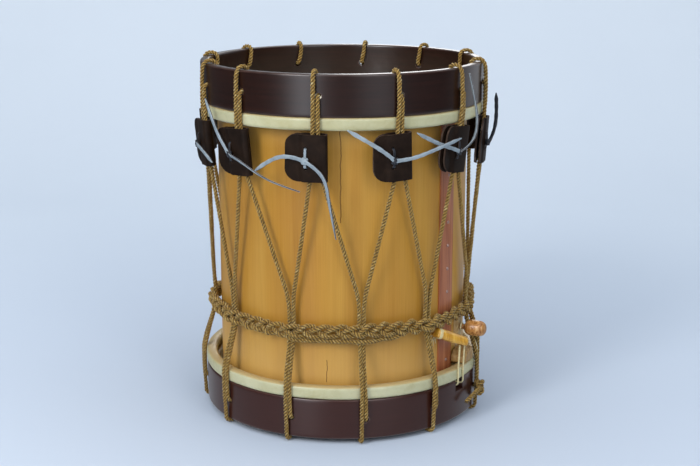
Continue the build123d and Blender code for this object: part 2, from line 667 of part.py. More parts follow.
with BuildPart() as snare_peg:
    with BuildSketch(Plane(peg_centre, x_dir=peg_outward, z_dir=peg_across)):
        with BuildLine():
            Polyline(
                (HEAD_END, 0),
                (INNER_TIP, 0),
                (INNER_TIP, PEG_SHAFT - TIP_CHAMFER),
                (INNER_TIP + TIP_CHAMFER, PEG_SHAFT),
                (PLATE_FACE, PEG_SHAFT),
                (PLATE_FACE + SHOULDER, NECK),
                (HEAD_START, NECK),
            )
            Spline(
                (HEAD_START, NECK),
                (BELLY, HEAD_WIDTH),
                (HEAD_END, 0),
                tangents=[(0.35, 1), (1, 0), (0, -1)],
            )
        make_face()
    revolve(axis=Axis(tuple(peg_centre), tuple(peg_outward)))
    with BuildSketch(Plane(peg_centre + peg_outward * HEAD_END, x_dir=peg_across, z_dir=-peg_outward)):
        Rectangle(CLEFT_WIDTH, 3 * HEAD_WIDTH)
    extrude(amount=CLEFT_DEPTH, mode=Mode.SUBTRACT)
write(snare_peg, "snare_peg")

with BuildPart() as peg_lashing:
    with Locations(Plane(peg_centre + peg_outward * LASHING_RADIUS, z_dir=peg_outward)):
        Torus(NECK + GUT / 2 + LASHING_PLAY, GUT / 2)
write(peg_lashing, "peg_lashing")
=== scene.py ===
"""A rope-tensioned snare drum: looks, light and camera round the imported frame.

Lengths are in millimetres until a mesh is made. A crossing is a place where the rope goes round a hoop;
angles are in degrees from the front, growing towards +X.
"""

import random
from math import cos, exp, hypot, pi, radians, sin, sqrt

import bmesh
import bpy
import numpy as np
from mathutils import Matrix, Vector


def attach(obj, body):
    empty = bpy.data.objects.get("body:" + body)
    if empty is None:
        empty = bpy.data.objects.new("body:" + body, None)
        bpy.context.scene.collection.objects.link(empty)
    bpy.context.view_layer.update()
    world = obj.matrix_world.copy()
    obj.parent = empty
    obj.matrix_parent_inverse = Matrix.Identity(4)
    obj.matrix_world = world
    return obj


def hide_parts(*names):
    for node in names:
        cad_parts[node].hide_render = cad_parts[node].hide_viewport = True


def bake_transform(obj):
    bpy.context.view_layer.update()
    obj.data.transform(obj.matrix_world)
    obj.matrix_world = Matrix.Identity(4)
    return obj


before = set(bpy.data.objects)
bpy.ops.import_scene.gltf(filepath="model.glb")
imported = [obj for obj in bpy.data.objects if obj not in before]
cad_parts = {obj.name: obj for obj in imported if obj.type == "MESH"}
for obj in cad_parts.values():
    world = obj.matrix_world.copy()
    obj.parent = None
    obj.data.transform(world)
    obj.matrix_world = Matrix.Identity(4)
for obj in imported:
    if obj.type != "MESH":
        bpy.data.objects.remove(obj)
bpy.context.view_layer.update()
MM = 0.001

# Dimensions, as in the model
HOOP_OUTSIDE, HOOP_INSIDE = 178.0, 167.0
HOOP_BASE, HOOP_TOP = 6.2, 447.2
LOWER_HOOP_TOP, UPPER_HOOP_BASE = 56.2, 397.2
LOWER_HOLES, UPPER_HOLES = 31.2, 422.2
SHELL_OUTSIDE, SHELL_INSIDE = 158.0, 153.0
SHELL_BASE, SHELL_TOP = 51.1, 402.3
MIDDLE = (HOOP_BASE + HOOP_TOP) / 2
FLESH_HEIGHT, FLESH_INSIDE = 15.0, 165.0
ROPE, PAIR_OFFSET = 6.0, 3.4
TIGHT_PAIR = 2.75
ROPE_OUT, ROPE_IN = 181.4, 163.8
RIM_LEVEL, EDGE_LEVEL = 450.4, 3.0
GIRDLE_LEVEL, GIRDLE_RADIUS = 138.2, 165.0
VEE_FOOT = 178.2
TUG_FOOT, TUG_HEIGHT = 323.2, 56.0
ROPE_BEND_LEVEL = 384.2
TOP_CROSSINGS = [-68.5, -42.5, -10.0, 21.2, 51.5, 76.0, 110.5, 140.5, 169.6, 200.2, 228.2, 258.0]
BOTTOM_CROSSINGS = [-87.5, -53.6, -21.6, 7.8, 38.2, 70.5, 98.0, 126.0, 155.0, 185.0, 214.0, 243.5]
TUG_SHIFTS = [3.0, 3.0, -0.5, 3.5, -6.0, -1.0, 2.0, -2.0, 0.0, 2.5, -1.5, -2.0]
PINCH_RISES = [12.0, 6.5, 14.0, 9.0, 5.0, 5.0, 12.0, 12.0, 12.0, 12.0, 12.0, 12.0]
COUNT = len(TOP_CROSSINGS)
PINCH_OFFSET = 4.4
LACE_OFFSET, LACE_PITCH = 10.4, 23.0
FOLD_RADIUS = 4.85
LEATHER = 2.5
KNOT_DROP, KNOT_REACH = 2.0, 10.2
SNARE_ANGLE, PEG_ANGLE, PEG_LEVEL = 55.4, 65.0, 115.2


def place(angle, across, radius, level):
    a = radians(angle)
    return Vector((radius * sin(a) + across * cos(a), across * sin(a) - radius * cos(a), level))


def rope_radius(level):
    """Radius of the rope between the girdle and the flesh hoop."""
    share = (level - GIRDLE_LEVEL) / (ROPE_BEND_LEVEL - GIRDLE_LEVEL)
    return GIRDLE_RADIUS + (ROPE_OUT - GIRDLE_RADIUS) * share


def linear(red, green, blue):
    """A screen colour, 0 to 255, as a linear one."""
    parts = [((c / 255 + 0.055) / 1.055) ** 2.4 if c > 10 else c / 255 / 12.92 for c in (red, green, blue)]
    return *parts, 1


def shade(value):
    """A number as a grey, and three numbers as a screen colour. Anything else stays as it is."""
    if isinstance(value, (int, float)):
        return value, value, value, 1
    return linear(*value) if isinstance(value, tuple) and len(value) == 3 else value


# Materials
class Tree:
    """A material's nodes, written from the shader backwards."""

    def __init__(self, name):
        self.material = bpy.data.materials.new(name)
        self.material.use_nodes = True
        self.nodes = self.material.node_tree.nodes
        self.links = self.material.node_tree.links
        self.shader = self.nodes["Principled BSDF"]

    def add(self, kind, settings=None, **inputs):
        made = self.nodes.new("ShaderNode" + kind)
        for key, value in (settings or {}).items():
            setattr(made, key, value)
        for key, value in inputs.items():
            self.put(made, key.replace("_", " "), value)
        return made

    def put(self, made, key, value):
        socket = made.inputs[int(key[1:]) if key[0] == "i" and key[1:].isdigit() else key]
        if isinstance(value, bpy.types.NodeSocket):
            self.links.new(value, socket)
        else:
            socket.default_value = value

    def set(self, **inputs):
        for key, value in inputs.items():
            self.put(self.shader, key.replace("_", " "), value)

    def math(self, operation, a, b=0.0, c=0.0):
        return self.add("Math", {"operation": operation}, i0=a, i1=b, i2=c).outputs[0]

    def place(self):
        return self.add("TexCoord").outputs["Object"]

    def noise(self, scale, detail, roughness, distortion=0.0, where=None):
        settings = {"Scale": scale, "Detail": detail, "Roughness": roughness, "Distortion": distortion}
        return self.add("TexNoise", Vector=where or self.place(), **settings).outputs["Fac"]

    def grain(self, scales, detail, roughness, distortion=0.0, where=None):
        """Noise with a different scale along each axis."""
        where = self.add("Mapping", Vector=where or self.place(), Scale=scales).outputs[0]
        return self.noise(1.0, detail, roughness, distortion, where)

    def cells(self, feature, scale):
        settings = {"Vector": self.place(), "Scale": float(scale)}
        return self.add("TexVoronoi", {"feature": feature}, **settings).outputs["Distance"]

    def ramp(self, source, *stops):
        made = self.add("ValToRGB", Fac=source)
        elements = made.color_ramp.elements
        while len(elements) < len(stops):
            elements.new(0.5)
        for element, (position, colour) in zip(elements, stops):
            element.position = position
            element.color = shade(colour)
        return made.outputs["Color"]

    def span(self, value, low, high):
        """0 at low, 1 at high, in proportion between."""
        return self.add("MapRange", Value=value, From_Min=low, From_Max=high).outputs[0]

    def mix(self, factor, a, b):
        return self.add("Mix", {"data_type": "RGBA"}, i0=factor, i6=a, i7=shade(b)).outputs[2]

    def bump(self, height, strength, distance, normal=None):
        made = self.add("Bump", Strength=strength, Distance=distance, Height=height)
        if normal is not None:
            self.put(made, "Normal", normal)
        return made.outputs["Normal"]


GRAIN_CIRCLE = 0.05


def around(t):
    """Coordinates for grain that runs round the drum: long along the circle, with no seam."""
    x, y, z = t.add("SeparateXYZ", Vector=t.place()).outputs
    angle = t.math("ARCTAN2", x, y)
    radius = t.math("SQRT", t.math("ADD", t.math("POWER", x, 2.0), t.math("POWER", y, 2.0)))
    cosine = t.math("MULTIPLY", t.math("COSINE", angle), GRAIN_CIRCLE)
    sine = t.math("MULTIPLY", t.math("SINE", angle), GRAIN_CIRCLE)
    across = t.math("ADD", z, t.math("MULTIPLY", radius, 0.6))
    return t.add("CombineXYZ", X=cosine, Y=sine, Z=across).outputs[0]


# Two drying cracks down the shell's front: x, lowest and highest level, width, in metres
CRACKS = ((-0.002, 0.270, 0.385, 0.0007), (-0.0192, 0.072, 0.100, 0.0006))


def crack(t, start, lowest, highest, width):
    """1 on a wandering line down the front, 0 elsewhere."""
    x, y, level = t.add("SeparateXYZ", Vector=t.place()).outputs
    wander = t.grain((0, 0, 38), 3, 0.6)
    off = t.math("SUBTRACT", x, t.math("MULTIPLY_ADD", wander, 0.007, start - 0.0035))
    line = t.span(t.math("ABSOLUTE", off), width, width * 0.4)
    inside = t.math("MULTIPLY", t.math("GREATER_THAN", level, lowest), t.math("LESS_THAN", level, highest))
    inside = t.math("MULTIPLY", inside, t.math("LESS_THAN", y, 0.0))
    return t.math("MULTIPLY", line, inside)


def shell_wood():
    t = Tree("shell_wood")
    level = t.add("SeparateXYZ", Vector=t.place()).outputs[2]
    broad = t.grain((13, 13, 0.9), 2.5, 0.5, 0.25)
    grain = t.grain((150, 150, 4.5), 5, 0.62, 0.6)
    fine = t.grain((900, 900, 14), 3, 0.6)
    cloud = t.grain((6, 6, 7), 3, 0.6)
    honey = (0.30, (172, 118, 40)), (0.46, (184, 132, 46)), (0.56, (190, 141, 56))
    base = t.ramp(broad, *honey, (0.72, (176, 122, 42)))
    streaks = t.ramp(grain, (0.30, (162, 110, 40)), (0.50, (192, 142, 62)), (0.75, (204, 156, 76)))
    wood = t.mix(0.25, base, streaks)
    wood = t.mix(t.ramp(fine, (0.35, 0.12), (0.6, 0.0)), wood, (130, 80, 30))
    stain = t.mix(t.ramp(cloud, (0.45, 0.0), (0.75, 0.28)), wood, (150, 94, 34))
    # Painted light: paler towards both ends, lifting the shade that falls under the flesh hoops
    ends = t.math("MAXIMUM", t.span(level, 0.15, 0.08), t.span(level, 0.355, 0.395))
    ends = t.math("MULTIPLY", ends, t.math("ADD", 0.18, t.math("MULTIPLY", cloud, 0.55)))
    colour = t.mix(ends, stain, (222, 178, 104))
    for sizes in CRACKS:
        colour = t.mix(t.math("MULTIPLY", crack(t, *sizes), 0.8), colour, (70, 38, 14))
    t.set(Base_Color=colour, Roughness=t.ramp(broad, (0.3, 0.36), (0.7, 0.46)), Specular_IOR_Level=0.26)
    t.set(Normal=t.bump(fine, 0.2, 0.0003, t.bump(grain, 0.15, 0.0005)))
    return t.material


def seam_wood():
    t = Tree("seam_wood")
    grain = t.grain((260, 260, 6), 5, 0.6, 0.5)
    broad = t.grain((30, 30, 3), 3, 0.6)
    colour = t.mix(
        t.ramp(broad, (0.35, 0.0), (0.7, 0.6)),
        t.ramp(grain, (0.3, (128, 62, 32)), (0.55, (178, 108, 66)), (0.75, (200, 136, 92))),
        (150, 76, 40),
    )
    t.set(Base_Color=colour, Roughness=0.45, Coat_Weight=0.1, Coat_Roughness=0.3)
    t.set(Normal=t.bump(grain, 0.35, 0.0006))
    return t.material


def hoop_wood():
    t = Tree("hoop_wood")
    where = around(t)
    grain = t.grain((40, 40, 260), 5, 0.6, 0.4, where=where)
    fine = t.grain((120, 120, 900), 3, 0.6, where=where)
    cloud = t.noise(22, 3, 0.6)
    colour = t.ramp(grain, (0.30, (28, 12, 7)), (0.52, (36, 16, 10)), (0.78, (44, 21, 14)))
    colour = t.mix(t.ramp(cloud, (0.45, 0.0), (0.75, 0.12)), colour, (54, 33, 29))
    # Painted reflection: the lower hoop is mixed lighter, in place of the sheen of the bright floor near it
    level = t.add("SeparateXYZ", Vector=t.place()).outputs[2]
    colour = t.mix(t.ramp(level, (0.1, 0.5), (0.2, 0.0)), colour, (68, 28, 20))
    worn = t.ramp(t.add("NewGeometry").outputs["Pointiness"], (0.515, 0.0), (0.56, 1.0))
    colour = t.mix(t.math("MULTIPLY", worn, t.ramp(cloud, (0.35, 0.15), (0.65, 0.7))), colour, (118, 92, 84))
    t.set(Base_Color=colour, Roughness=0.28)
    t.set(Normal=t.bump(fine, 0.06, 0.0002, t.bump(grain, 0.06, 0.0003)))
    return t.material


def small_wood(name, dark, mid, light, roughness, coat, scale=1.0):
    t = Tree(name)
    grain = t.grain((240 * scale, 160 * scale, 60 * scale), 5, 0.6, 1.2)
    broad = t.noise(70 * scale, 3, 0.55)
    colour = t.ramp(grain, (0.32, dark), (0.52, mid), (0.72, light))
    colour = t.mix(t.ramp(broad, (0.4, 0.0), (0.75, 0.4)), colour, dark)
    t.set(Base_Color=colour, Roughness=roughness, Coat_Weight=coat, Coat_Roughness=0.15)
    t.set(Normal=t.bump(grain, 0.25, 0.0005))
    return t.material


def skin(name, base, lapped):
    """Drum skin: veined on the head, and tan on its upward faces where it is lapped."""
    t = Tree(name)
    cloud = t.noise(14, 5, 0.6, 0.6)
    mottle = t.noise(90, 4, 0.65)
    pores = t.noise(900, 2, 0.5)
    r, g, b = base
    pale = (min(255, r + 14), min(255, g + 14), min(255, b + 16))
    colour = t.ramp(cloud, (0.3, (r - 18, g - 22, b - 30)), (0.5, base), (0.72, pale))
    colour = t.mix(t.ramp(mottle, (0.5, 0.0), (0.8, 0.35)), colour, (r - 34, g - 40, b - 52))
    if lapped:
        upward = t.add("SeparateXYZ", Vector=t.add("NewGeometry").outputs["Normal"]).outputs[2]
        colour = t.mix(t.ramp(upward, (0.5, 0.0), (0.85, 0.75)), colour, (190, 160, 104))
    else:
        veins = t.cells("DISTANCE_TO_EDGE", 11)
        colour = t.mix(t.ramp(veins, (0.0, 0.35), (0.06, 0.0)), colour, (r - 30, g - 38, b - 46))
    t.set(Base_Color=colour, Roughness=0.42 if lapped else 0.36, Coat_Weight=0.1, Coat_Roughness=0.3)
    t.set(Subsurface_Weight=0.12, Subsurface_Scale=0.004, Subsurface_Radius=(1.0, 0.7, 0.4))
    t.set(Normal=t.bump(pores, 0.15, 0.0002, t.bump(mottle, 0.2, 0.0006)))
    return t.material


def hemp():
    t = Tree("hemp")
    fibres = t.grain((260, 1700, 1), 4, 0.75, 1.2, t.add("TexCoord").outputs["UV"])
    patches = t.noise(55, 3, 0.6)
    hollow_shade = t.add("Attribute", {"attribute_name": "hollow_shade"}).outputs["Fac"]
    straw = (0.46, (176, 136, 58)), (0.62, (216, 180, 96)), (0.78, (242, 218, 148))
    colour = t.ramp(fibres, (0.30, (114, 80, 24)), *straw)
    colour = t.mix(t.ramp(patches, (0.4, 0.0), (0.72, 0.45)), colour, (164, 130, 66))
    specks = t.noise(360, 2, 0.6, 0.5)
    colour = t.mix(t.ramp(specks, (0.34, 0.6), (0.52, 0.0)), colour, (120, 84, 32))
    colour = t.mix(t.ramp(specks, (0.56, 0.0), (0.74, 0.7)), colour, (238, 220, 164))
    # Painted shade in the hollows between the strands
    colour = t.mix(t.math("MULTIPLY", hollow_shade, 0.85), colour, (74, 46, 8))
    t.set(Base_Color=colour, Roughness=0.82, Specular_IOR_Level=0.25, Sheen_Weight=0.15, Sheen_Roughness=0.5)
    t.set(Normal=t.bump(fibres, 0.8, 0.0011))
    return t.material


def leather(name, dark, mid, light, roughness, bump, grain=700):
    t = Tree(name)
    cells = t.cells("SMOOTH_F1", grain)
    cloud = t.noise(60, 4, 0.6)
    scuff = t.noise(300, 4, 0.7, 1.0)
    colour = t.ramp(cloud, (0.3, dark), (0.52, mid), (0.75, light))
    worn = t.ramp(t.add("NewGeometry").outputs["Pointiness"], (0.52, 0.0), (0.60, 1.0))
    rubbed = t.math("MULTIPLY", worn, t.ramp(scuff, (0.35, 0.1), (0.65, 0.6)))
    colour = t.mix(rubbed, colour, tuple(c + 40 for c in light))
    dull = t.ramp(cloud, (0.3, roughness), (0.7, roughness + 0.12))
    t.set(Base_Color=colour, Roughness=dull, Specular_IOR_Level=0.12)
    t.set(Normal=t.bump(cells, bump, 0.0003, t.bump(scuff, 0.12, 0.0004)))
    return t.material


def plain(name, colour, roughness, scale, spread, **more):
    """A small part's finish: one colour, broken up a little, with a fine bump."""
    t = Tree(name)
    cloud = t.noise(scale, 4, 0.6)
    dark = tuple(c * (1 - spread) for c in linear(*colour)[:3]) + (1,)
    light = tuple(min(1, c * (1 + spread)) for c in linear(*colour)[:3]) + (1,)
    t.set(Base_Color=t.ramp(cloud, (0.35, dark), (0.65, light)), Roughness=roughness, **more)
    t.set(Normal=t.bump(cloud, 0.2, 0.0003))
    return t.material


SHELL = shell_wood()
SEAM = seam_wood()
HOOP = hoop_wood()
HEAD = skin("head_skin", (214, 202, 168), False)
LAP = skin("lapped_skin", (192, 186, 146), True)
HEMP = hemp()
TUG = leather("tug_leather", (22, 12, 6), (32, 20, 12), (44, 30, 20), 0.5, 0.2)
RAW = leather("raw_edge", (40, 28, 21), (60, 44, 35), (86, 68, 57), 0.8, 0.6, 1500)
THONG = leather("thong", (108, 118, 124), (136, 146, 152), (156, 166, 170), 0.62, 0.4, 1500)
DARK_THONG = leather("dark_thong", (22, 22, 26), (34, 35, 40), (60, 64, 70), 0.45, 0.4, 1500)
PALE = small_wood("pale_wood", (160, 130, 84), (200, 172, 120), (222, 200, 156), 0.5, 0.1)
TOGGLE = small_wood("toggle_wood", (180, 120, 28), (216, 160, 50), (230, 184, 84), 0.34, 0.3)
REST = small_wood("rest_wood", (128, 92, 44), (166, 128, 70), (190, 156, 100), 0.55, 0.1)
PEG = small_wood("peg_wood", (112, 62, 20), (188, 128, 62), (230, 184, 122), 0.34, 0.2, 1.4)
GUT_SKIN = plain("gut", (216, 200, 150), 0.38, 500, 0.15, Coat_Weight=0.2)
TACK = plain("tack", (168, 138, 128), 0.45, 800, 0.25, Metallic=0.6)


# Meshes
def smooth(mesh):
    mesh.polygons.foreach_set("use_smooth", [True] * len(mesh.polygons))


def scene_object(name, data):
    made = bpy.data.objects.new(name, data)
    bpy.context.scene.collection.objects.link(made)
    return made


def mesh_object(name, vertices, faces, material):
    """A mesh from vertices in millimetres."""
    mesh = bpy.data.meshes.new(name)
    mesh.from_pydata([tuple(v) for v in np.asarray(vertices, float) * MM], [], faces)
    mesh.materials.append(material)
    smooth(mesh)
    return scene_object(name, mesh)


def face_outward(mesh):
    """Turns every face the same way, outward."""
    bm = bmesh.new()
    bm.from_mesh(mesh)
    bmesh.ops.recalc_face_normals(bm, faces=bm.faces)
    bm.to_mesh(mesh)
    bm.free()


def stands_for(made, body, node):
    """Says which body a piece rides on, and hides the node it replaces."""
    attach(made, body)
    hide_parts(node)


def grid_faces(rows, columns, start=0, wrap=True, wrap_rows=False):
    """Faces between rows of vertices, each row closed in a ring if wrap is set."""
    faces = []
    for i in range(rows if wrap_rows else rows - 1):
        a, b = start + i * columns, start + ((i + 1) % rows) * columns
        for j in range(columns if wrap else columns - 1):
            k = (j + 1) % columns
            faces.append((a + j, a + k, b + k, b + j))
    return faces


def apply_modifiers(made):
    """Turns what the modifiers make into the object's own mesh."""
    bpy.context.view_layer.update()
    depsgraph = bpy.context.evaluated_depsgraph_get()
    mesh = bpy.data.meshes.new_from_object(made.evaluated_get(depsgraph), depsgraph=depsgraph)
    made.modifiers.clear()
    made.data = mesh
    return made


def spline_line(route, spacing):
    """Points at an even spacing along the smooth line that a cord takes along its route."""
    curve = bpy.data.curves.new("line", "CURVE")
    curve.dimensions = "3D"
    curve.resolution_u = 16
    spline = curve.splines.new("NURBS")
    spline.points.add(len(route) - 1)
    for point, where in zip(spline.points, route):
        point.co = (*where, 1)
    spline.order_u = 3
    spline.use_endpoint_u = True
    holder = bpy.data.objects.new("line", curve)
    mesh = bpy.data.meshes.new_from_object(holder)
    line = np.array([v.co[:] for v in mesh.vertices])
    bpy.data.objects.remove(holder)
    bpy.data.curves.remove(curve)
    bpy.data.meshes.remove(mesh)
    steps = lengths_along(line)
    at = np.linspace(0, steps[-1], max(3, round(steps[-1] / spacing)))
    return np.stack([np.interp(at, steps, line[:, k]) for k in range(3)], 1)


def tangents_along(line):
    tangents = np.gradient(line, axis=0)
    return tangents / np.linalg.norm(tangents, axis=1)[:, None]


def lengths_along(line):
    return np.r_[0, np.cumsum(np.linalg.norm(np.diff(line, axis=0), axis=1))]


def frames_along(line):
    """Two directions square to the line at each point, turned as little as possible."""
    tangents = tangents_along(line)
    normal = np.array((0.3, 0.2, 1.0))
    normals = []
    for tangent in tangents:
        normal = normal - tangent * normal.dot(tangent)
        normal /= np.linalg.norm(normal)
        normals.append(normal)
    normals = np.array(normals)
    return normals, np.cross(tangents, normals)


# Laid rope: vertices round it, the thickness it is drawn at, and the length of one twist
AROUND = 18
LAID = 5.5
STRAND_PITCH = 12.6


def rope_profile(count, radius):
    """Radius round a three-strand rope, and how deep in the hollows between strands each point lies, for the
    painted shade there.
    """
    turn = np.arange(count) * 2 * pi / count
    near = (turn + pi / 3) % (2 * pi / 3) - pi / 3
    centre, strand = 0.52, 0.50
    reach = centre * np.cos(near) + np.sqrt(np.maximum(strand**2 - (centre * np.sin(near)) ** 2, 0.02))
    return turn, reach * radius, np.clip((1.0 - reach) / 0.32, 0, 1)


def ring_ends(rows, count, start=0):
    """The two end faces of a tube."""
    last = start + (rows - 1) * count
    return [tuple(range(start, start + count))[::-1], tuple(range(last, last + count))]


def rope_mesh(name, lines, diameter=LAID, around_count=AROUND):
    """Laid rope along lines: three twisted strands, painted shade in their hollows, and a place along and
    round it.
    """
    turn, reach, hollow_shade = rope_profile(around_count, diameter / 2)
    vertices, faces, shades, places = [], [], [], []
    for line in lines:
        side, up = frames_along(line)
        length = lengths_along(line)
        start = len(vertices)
        wander = 1 + (0.04 * np.sin(length / 7.3) + 0.03 * np.sin(length / 2.9 + 1))
        for i, centre in enumerate(line):
            phase = turn + 2 * pi * length[i] / STRAND_PITCH
            outline = reach * wander[i]
            flat, high = (outline * np.cos(phase))[:, None], (outline * np.sin(phase))[:, None]
            vertices.extend(centre + flat * side[i] + high * up[i])
            shades.extend(hollow_shade)
            places.extend((length[i] * MM, p * diameter / 2 * MM) for p in phase)
        faces += grid_faces(len(line), around_count, start) + ring_ends(len(line), around_count, start)
    made = mesh_object(name, vertices, faces, HEMP)
    attribute = made.data.attributes.new("hollow_shade", "FLOAT", "POINT")
    attribute.data.foreach_set("value", [float(s) for s in shades])
    layer = made.data.uv_layers.new(name="UVMap")
    places = np.array(places)
    layer.data.foreach_set("uv", places[[loop.vertex_index for loop in made.data.loops]].ravel())
    return made


def rounded(points, radius):
    """A closed profile with its corners rounded."""
    made = []
    for before, corner, after in zip(points[-1:] + points[:-1], points, points[1:] + points[:1]):
        b, c, a = (np.array(p, float) for p in (before, corner, after))
        into, out = (b - c) / np.linalg.norm(b - c), (a - c) / np.linalg.norm(a - c)
        for s in (0, 0.25, 0.5, 0.75, 1):
            made.append(tuple(c + into * radius * (1 - s) ** 2 + out * radius * s**2))
    return made


def ease(value):
    """0 below 0, 1 above 1, and a smooth step between."""
    value = min(max(value, 0), 1)
    return value * value * (3 - 2 * value)


def cut_away(made, bm, where=(0, 0, 0)):
    """Takes a shape, in metres, out of a piece."""
    cutter = mesh_object("cutter", [], [], made.data.materials[-1])
    bm.to_mesh(cutter.data)
    bm.free()
    cutter.location = where
    cut = made.modifiers.new("cut", "BOOLEAN")
    cut.operation = "DIFFERENCE"
    cut.object = cutter
    apply_modifiers(made)
    bpy.data.objects.remove(cutter)


# Shell and hoops, turned and bored
SEGMENTS = 360
WALL_RINGS = 16
CUT_THROUGH = 30.0


def radial(angle, radius, level, size):
    """A unit shape's place on a wall: X along the wall, Y up, Z outward, stretched to a size."""
    axes = Matrix((place(angle, 1, 0, 0), (0, 0, 1), place(angle, 0, 1, 0))).transposed().to_4x4()
    return Matrix.Translation(place(angle, 0, radius, level) * MM) @ axes @ Matrix.Diagonal((*size, 1))


def turned(node, inside, outside, base, top, edge, material, slot, bores, gates=()):
    """A ring with rounded edges. bores are (angle, across, level, radius), gates (angle, width, depth)."""
    corners = rounded([(inside, base), (outside, base), (outside, top), (inside, top)], edge)
    half = len(corners) // 2
    levels = np.linspace(base + edge, top - edge, WALL_RINGS + 2)[1:-1]
    profile = corners[:half] + [(outside, z) for z in levels]
    profile += corners[half:] + [(inside, z) for z in levels[::-1]]
    vertices = [place(360 * k / SEGMENTS, 0, *point) for k in range(SEGMENTS) for point in profile]
    faces = grid_faces(SEGMENTS, len(profile), 0, True, True)
    made = mesh_object(f"{node}_turned", vertices, faces, material)
    face_outward(made.data)
    middle = (inside + outside) / 2
    bm = bmesh.new()
    for angle, across, level, radius in bores:
        where = Matrix.Translation(place(angle, across, 0, 0) * MM) @ radial(angle, middle, level, (1, 1, 1))
        size = {"radius1": radius * MM, "radius2": radius * MM, "depth": CUT_THROUGH * MM}
        bmesh.ops.create_cone(bm, cap_ends=True, segments=28, matrix=where, **size)
    for angle, width, depth in gates:
        size = (width * MM, 2 * depth * MM, CUT_THROUGH * MM)
        bmesh.ops.create_cube(bm, size=1, matrix=radial(angle, middle, top, size))
    bmesh.ops.recalc_face_normals(bm, faces=bm.faces)
    cut_away(made, bm)
    smooth(made.data)
    made.data.set_sharp_from_angle(angle=radians(40))
    stands_for(made, "root", node)


HOOP_EDGE, SHELL_EDGE = 2.5, 1.0
TOP_BORE, BOTTOM_BORE, VENT, PEG_BORE = 4.0, 4.2, 5.0, 4.05
GATE = (18, 15)
upper = (HOOP_INSIDE, HOOP_OUTSIDE, UPPER_HOOP_BASE, HOOP_TOP, HOOP_EDGE, HOOP, "hoop_wood")
lower = (HOOP_INSIDE, HOOP_OUTSIDE, HOOP_BASE, LOWER_HOOP_TOP, HOOP_EDGE, HOOP, "hoop_wood")
turned("top_counter_hoop", *upper, [(angle, PAIR_OFFSET, UPPER_HOLES, TOP_BORE) for angle in TOP_CROSSINGS])
bores = [(angle, PAIR_OFFSET, LOWER_HOLES, BOTTOM_BORE) for angle in BOTTOM_CROSSINGS]
turned("bottom_counter_hoop", *lower, bores, [(SNARE_ANGLE, *GATE), (SNARE_ANGLE + 180, *GATE)])
walls = (SHELL_INSIDE, SHELL_OUTSIDE, SHELL_BASE, SHELL_TOP, SHELL_EDGE, SHELL, "shell_wood")
turned("shell", *walls, [(180, 0, MIDDLE, VENT), (PEG_ANGLE, 0, PEG_LEVEL, PEG_BORE)])

# Parts that keep the model's shapes
for material, nodes in (
    (SHELL, ["reinforcing_ring_lower", "reinforcing_ring_upper"]),
    (SEAM, ["seam_strip"]),
    (TACK, ["seam_tacks"]),
    (PALE, ["top_flesh_hoop", "bottom_flesh_hoop", "snare_anchor", "peg_plate"]),
    (REST, ["snare_rest"]),
    (GUT_SKIN, ["peg_lashing", "snare_gut"]),
    (PEG, ["snare_peg"]),
):
    for node in nodes:
        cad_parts[node].data.materials.clear()
        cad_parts[node].data.materials.append(material)


# Heads: a skin over the shell's edge, lapped round its flesh hoop
SKIN = 0.7


def head_profile(base, way):
    """Half of a head's section from its middle outward. way is 1 for the upper head, -1 for the lower."""
    over = base + way * 0.9
    inner, outer, ring = SHELL_INSIDE - 1, HOOP_OUTSIDE, FLESH_INSIDE
    edge = UPPER_HOOP_BASE if way > 0 else LOWER_HOOP_TOP
    far = edge - way * FLESH_HEIGHT
    profile = [(r, over) for r in np.linspace(2, inner - 8, 30)]
    profile += [(r, over) for r in (inner - 4, inner, SHELL_OUTSIDE - 3)]
    profile += [(SHELL_OUTSIDE - 0.5, over - way * 0.1), (SHELL_OUTSIDE + 1.5, over - way * 1.2)]
    profile += [(ring - 3, over - way * 3.4), (ring - 0.6, edge - way * 2.6)]
    profile += [(ring + 1.5, edge - way * 0.5), (outer - 3, edge - way * 0.2), (outer - 1, edge - way * 0.9)]
    profile += [(outer, z) for z in (edge - way * 2.6, *np.linspace(edge - way * 4, far + way * 3, 5))]
    profile += [(outer - 0.4, far + way * 1.4), (outer - 1.6, far + way * 0.3), (outer - 3.5, far)]
    profile += [(ring + 3, far), (ring + 0.8, far + way), (ring, far + way * 3.0), (ring, edge - way * 6)]
    return profile


def head_object(node, base, way, seed):
    rng = random.Random(seed)
    waves = [(rng.uniform(0, 6.28), rng.choice([3, 5, 8, 13, 21, 34])) for _ in range(7)]
    profile = head_profile(base, way)

    def wavy(angle, amount):
        a = radians(angle)
        return amount * sum(sin(a * k + phase) / (1 + k / 9) for phase, k in waves) / 3

    vertices = [Vector((0, 0, profile[0][1]))]
    faces = grid_faces(SEGMENTS, len(profile), 1, False, True)
    for k in range(SEGMENTS):
        angle = 360 * k / SEGMENTS
        for r, z in profile:
            lap = ease((r - 162) / 6)
            vertices.append(place(angle, 0, r + lap * wavy(angle, 0.35), z + lap * wavy(angle + 40, 0.45)))
        faces.append((0, 1 + ((k + 1) % SEGMENTS) * len(profile), 1 + k * len(profile)))
    made = mesh_object(node, vertices, faces, HEAD)
    made.data.materials.append(LAP)
    for polygon in made.data.polygons:
        corner = made.data.vertices[polygon.vertices[0]].co
        if hypot(corner.x, corner.y) > (FLESH_INSIDE - 2.5) * MM:
            polygon.material_index = 1
    thickness = made.modifiers.new("thickness", "SOLIDIFY")
    thickness.thickness = SKIN * MM
    thickness.offset = 0
    apply_modifiers(made)
    face_outward(made.data)
    smooth(made.data)
    stands_for(made, "root", node)


head_object("top_head", SHELL_TOP, 1, 5)
head_object("bottom_head", SHELL_BASE, -1, 9)


